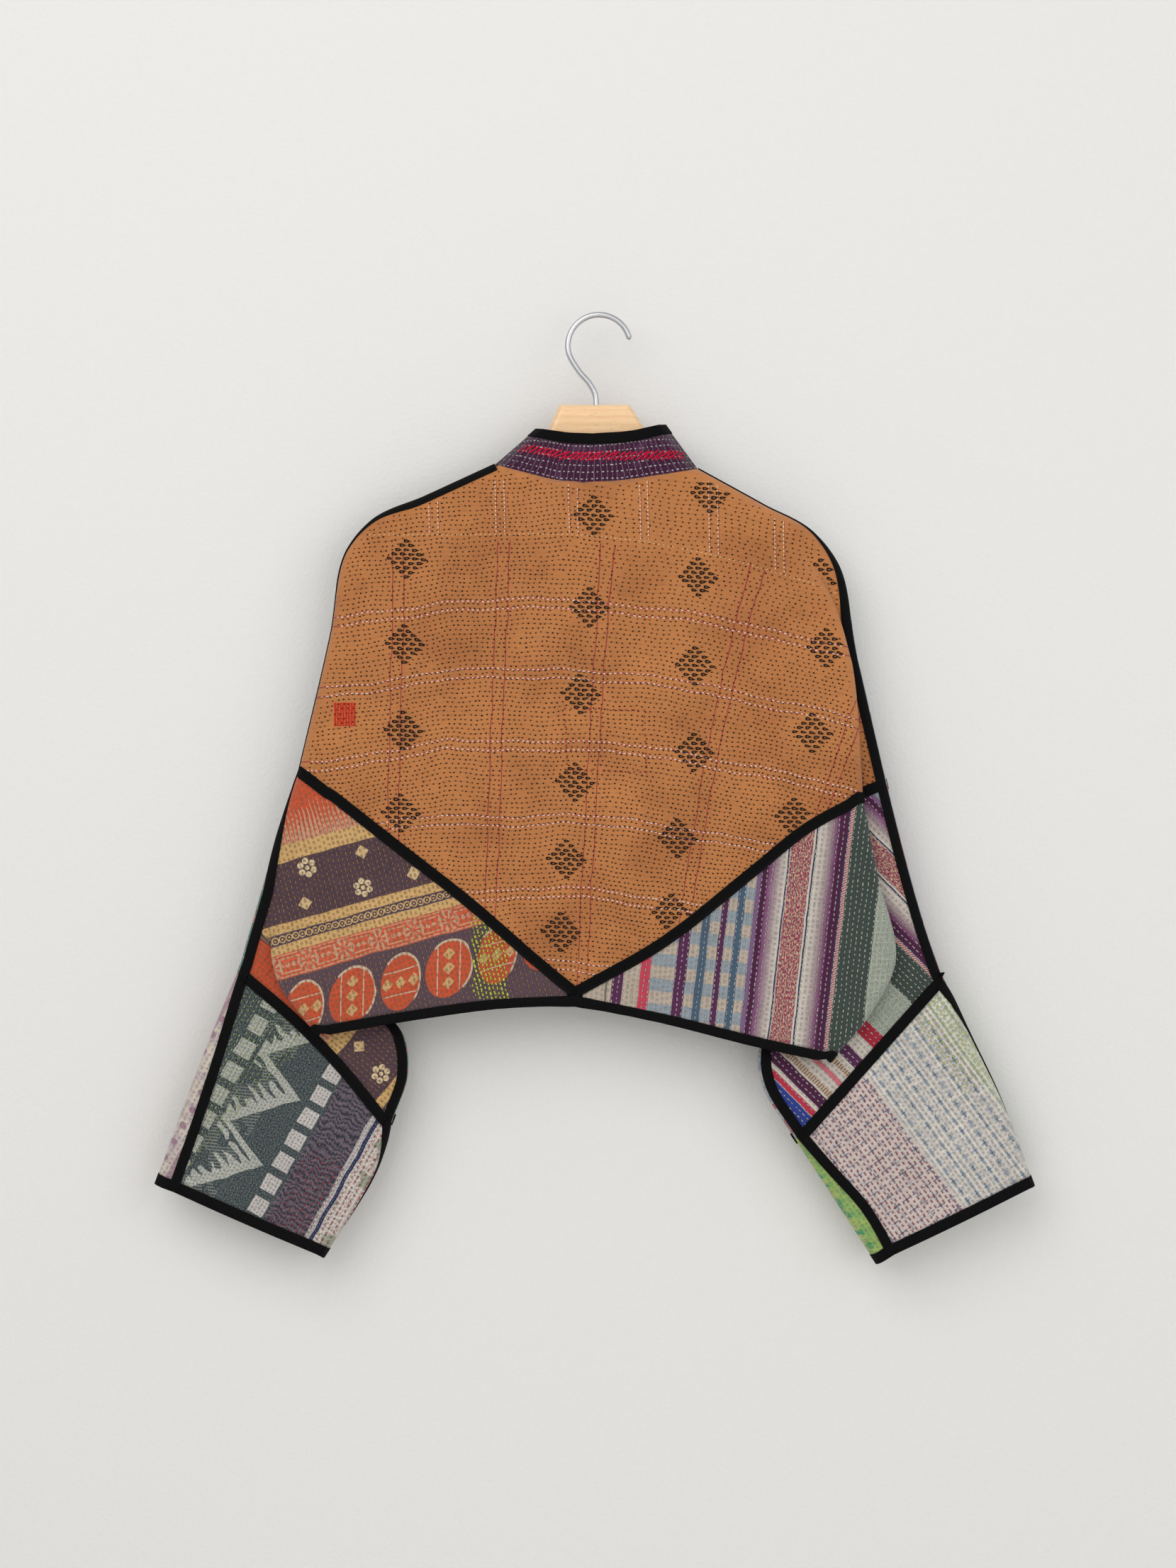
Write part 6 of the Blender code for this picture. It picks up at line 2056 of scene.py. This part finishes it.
@dataclass(frozen=True)
class Beech(Finish):
    """Varnished beech."""

    name: str = "beech"

    def dress(self, graph: Graph, shader: bpy.types.Node) -> None:
        """Straight grain along the arms, as rings bent by noise, with short dark flecks."""
        x, y, z = graph.split(graph.place(), 3)
        grain = graph.noise(graph.point(x * 0.05, y * 0.6, z * 0.9), 0.6, 4.0, 0.6)
        rings = ((z + grain * 9.0 + y * 0.3) * 0.9).sin() * 0.5 + 0.5
        fleck = graph.noise(graph.point(x * 0.25, y * 2.0, z * 3.0), 0.8, 2.0).soft(0.62, 0.72)
        colour = graph.mix(rings * 0.5, srgb(244, 204, 156), srgb(226, 176, 124))
        colour = graph.mix(fleck * 0.4, colour, srgb(156, 106, 64))
        graph.bump(shader, grain, 0.15)
        graph.give(shader, Base_Color=colour, Roughness=0.42, Coat_Weight=0.25)


@dataclass(frozen=True)
class HookMetal(Finish):
    """Satin aluminium wire."""

    name: str = "hook_metal"

    def dress(self, graph: Graph, shader: bpy.types.Node) -> None:
        """Faint drawn lines from fine noise, in the tone and the roughness."""
        fine = graph.noise(graph.place(), 900.0)
        colour = graph.mix(fine * 0.3, srgb(206, 206, 208), srgb(168, 168, 172))
        graph.give(shader, Base_Color=colour, Metallic=1.0, Roughness=graph.ramp(fine, 0.3, 0.7, 0.26, 0.4))


@dataclass
class Hanger:
    """The wooden hanger and its hook."""

    def hook_line(self) -> Array:
        """The wire's centreline: over the top in one arc, then in an S down into the block."""
        angles = np.radians(np.arange(HOOK_TIP_ANGLE, HOOK_BACK_ANGLE, 5.0))
        centre = WIRE_RADIUS - HOOK_RADIUS
        arc = np.stack([HOOK_RADIUS * np.cos(angles), centre + HOOK_RADIUS * np.sin(angles)], axis=1)
        bend = along(np.concatenate([arc[-4:], np.array(HOOK_NECK)]), steps(LONG_STEPS))
        return np.concatenate([arc[:-4], bend])

    def build(self) -> None:
        """Gives the wood its finish and makes a smooth hook with a rounded tip."""
        wood = bpy.data.objects["hanger_wood"]
        wood.data.materials.clear()
        wood.data.materials.append(Beech().build())
        line = self.hook_line()
        curve = bpy.data.curves.new("hook_wire", "CURVE")
        curve.dimensions = "3D"
        curve.bevel_depth = WIRE_RADIUS * MM
        curve.bevel_resolution = 6
        curve.use_fill_caps = True
        tip = [moved(line[:1], line[1:2], -WIRE_RADIUS * share) for share, _ in HOOK_TIP]
        line = np.concatenate([*tip, line])
        spline = curve.splines.new("POLY")
        spline.points.add(len(line) - 1)
        radii = np.ones(len(line))
        radii[: len(tip)] = [radius for _, radius in HOOK_TIP]
        for point, (x, z), radius in zip(spline.points, line, radii):
            point.co = (x * MM, 0.0, z * MM, 1.0)
            point.radius = radius
        spline.use_smooth = True
        piece = placed("hook_wire", curve)
        LOG.info("hook_wire: %d points", len(line))
        curve.materials.append(HookMetal().build())
        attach(piece, "root")
        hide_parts("hook")


@dataclass(frozen=True)
class Plaster(Finish):
    """Matte plaster of one colour."""

    name: str = "pale_wall"
    ending: ClassVar[str] = ""
    colour: tuple[float, float, float] = srgb(228, 226, 223)

    def dress(self, graph: Graph, shader: bpy.types.Node) -> None:
        """A faint relief from noise, and unseen from behind."""
        graph.bump(shader, graph.noise(graph.place(), 260.0, 4.0), 0.6)
        graph.give(shader, Base_Color=self.colour, Roughness=0.9)
        back = graph.node("ShaderNodeNewGeometry").outputs["Backfacing"]
        clear = graph.node("ShaderNodeBsdfTransparent")
        chooser = graph.node("ShaderNodeMixShader")
        for target, source in zip(chooser.inputs, (back, shader.outputs[0], clear.outputs[0])):
            graph.tree.links.new(source, target)
        graph.tree.links.new(chooser.outputs[0], graph.tree.nodes["Material Output"].inputs["Surface"])


@dataclass
class Studio:
    """A plain pale wall and floor, soft light, and the camera at the photograph's angle."""

    wall_gap: float = 0.012
    camera_distance: float = 2.6
    frame_height: float = 1.438
    middle: tuple[float, float] = (-0.0101, -0.4277)
    floor_gap: float = 0.75
    half_width: float = 4.0
    height: float = 3.0
    front: float = -5.0
    sky: tuple[float, float, float, float] = (0.86, 0.88, 0.9, 1.0)
    sky_strength: float = 0.52
    sensor: float = 36.0
    lamps: tuple = (
        ("key", (-1.2, -2.6, 1.3), 52.0, 2.8, (1.0, 0.99, 0.975)),
        ("fill", (1.9, -2.6, 0.2), 26.0, 2.6, (0.97, 0.985, 1.0)),
        ("low", (0.0, -2.8, -1.2), 9.0, 2.4, (1.0, 1.0, 1.0)),
    )

    def sheet(self, name: str, corners: Sequence[tuple[float, float, float]]) -> None:
        """One large plastered quad as part of the stage."""
        mesh = bpy.data.meshes.new(name)
        mesh.from_pydata([Vector(corner) for corner in corners], [], [(0, 1, 2, 3)])
        mesh.materials.append(Plaster().build())
        placed(name, mesh)

    def lamp(self, name: str, place: tuple, power: float, size: float, colour: tuple) -> None:
        """A soft square light that looks at the jacket."""
        light = bpy.data.lights.new(name, "AREA")
        light.energy = power
        light.size = size
        light.color = colour
        piece = placed(name, light)
        piece.location = place
        aim = Vector((0.0, 0.0, self.middle[1])) - Vector(place)
        piece.rotation_euler = aim.to_track_quat("-Z", "Y").to_euler()

    def camera(self) -> None:
        """A camera as far away as the photograph's, with its view's height."""
        camera = bpy.data.cameras.new("camera")
        camera.sensor_fit = "VERTICAL"
        camera.sensor_height = self.sensor
        camera.lens = self.sensor * self.camera_distance / self.frame_height
        camera.clip_end = 50.0
        piece = placed("camera", camera)
        piece.location = (self.middle[0], -self.camera_distance, self.middle[1])
        piece.rotation_euler = (math.radians(90), 0.0, 0.0)
        bpy.context.scene.camera = piece

    def build(self) -> None:
        """Sets up stage, light and camera."""
        back = CAD_BOX[1][1] + self.wall_gap
        floor = CAD_BOX[0][2] - self.floor_gap
        right = self.half_width
        below = [(-right, back, floor), (right, back, floor)]
        self.sheet("wall", below + [(right, back, self.height), (-right, back, self.height)])
        self.sheet("floor", [(-right, self.front, floor), (right, self.front, floor)] + below[::-1])
        for lamp in self.lamps:
            self.lamp(*lamp)
        bpy.context.scene.view_settings.view_transform = "Standard"
        world = bpy.data.worlds.new("studio")
        world.use_nodes = True
        sky = world.node_tree.nodes["Background"]
        sky.inputs[0].default_value = self.sky
        sky.inputs[1].default_value = self.sky_strength
        bpy.context.scene.world = world
        self.camera()


def main() -> None:
    """Builds the sub-assemblies in order."""
    logging.basicConfig(level=logging.INFO, format="%(name)s %(message)s")
    sides = {name: Side(name) for name in SIDES}
    Studio().build()
    PanelSet(sides).build()
    bindings = Bindings(sides)
    bindings.build()
    Collar(sides, bindings).build()
    Hanger().build()


if __name__ == "__main__":
    main()
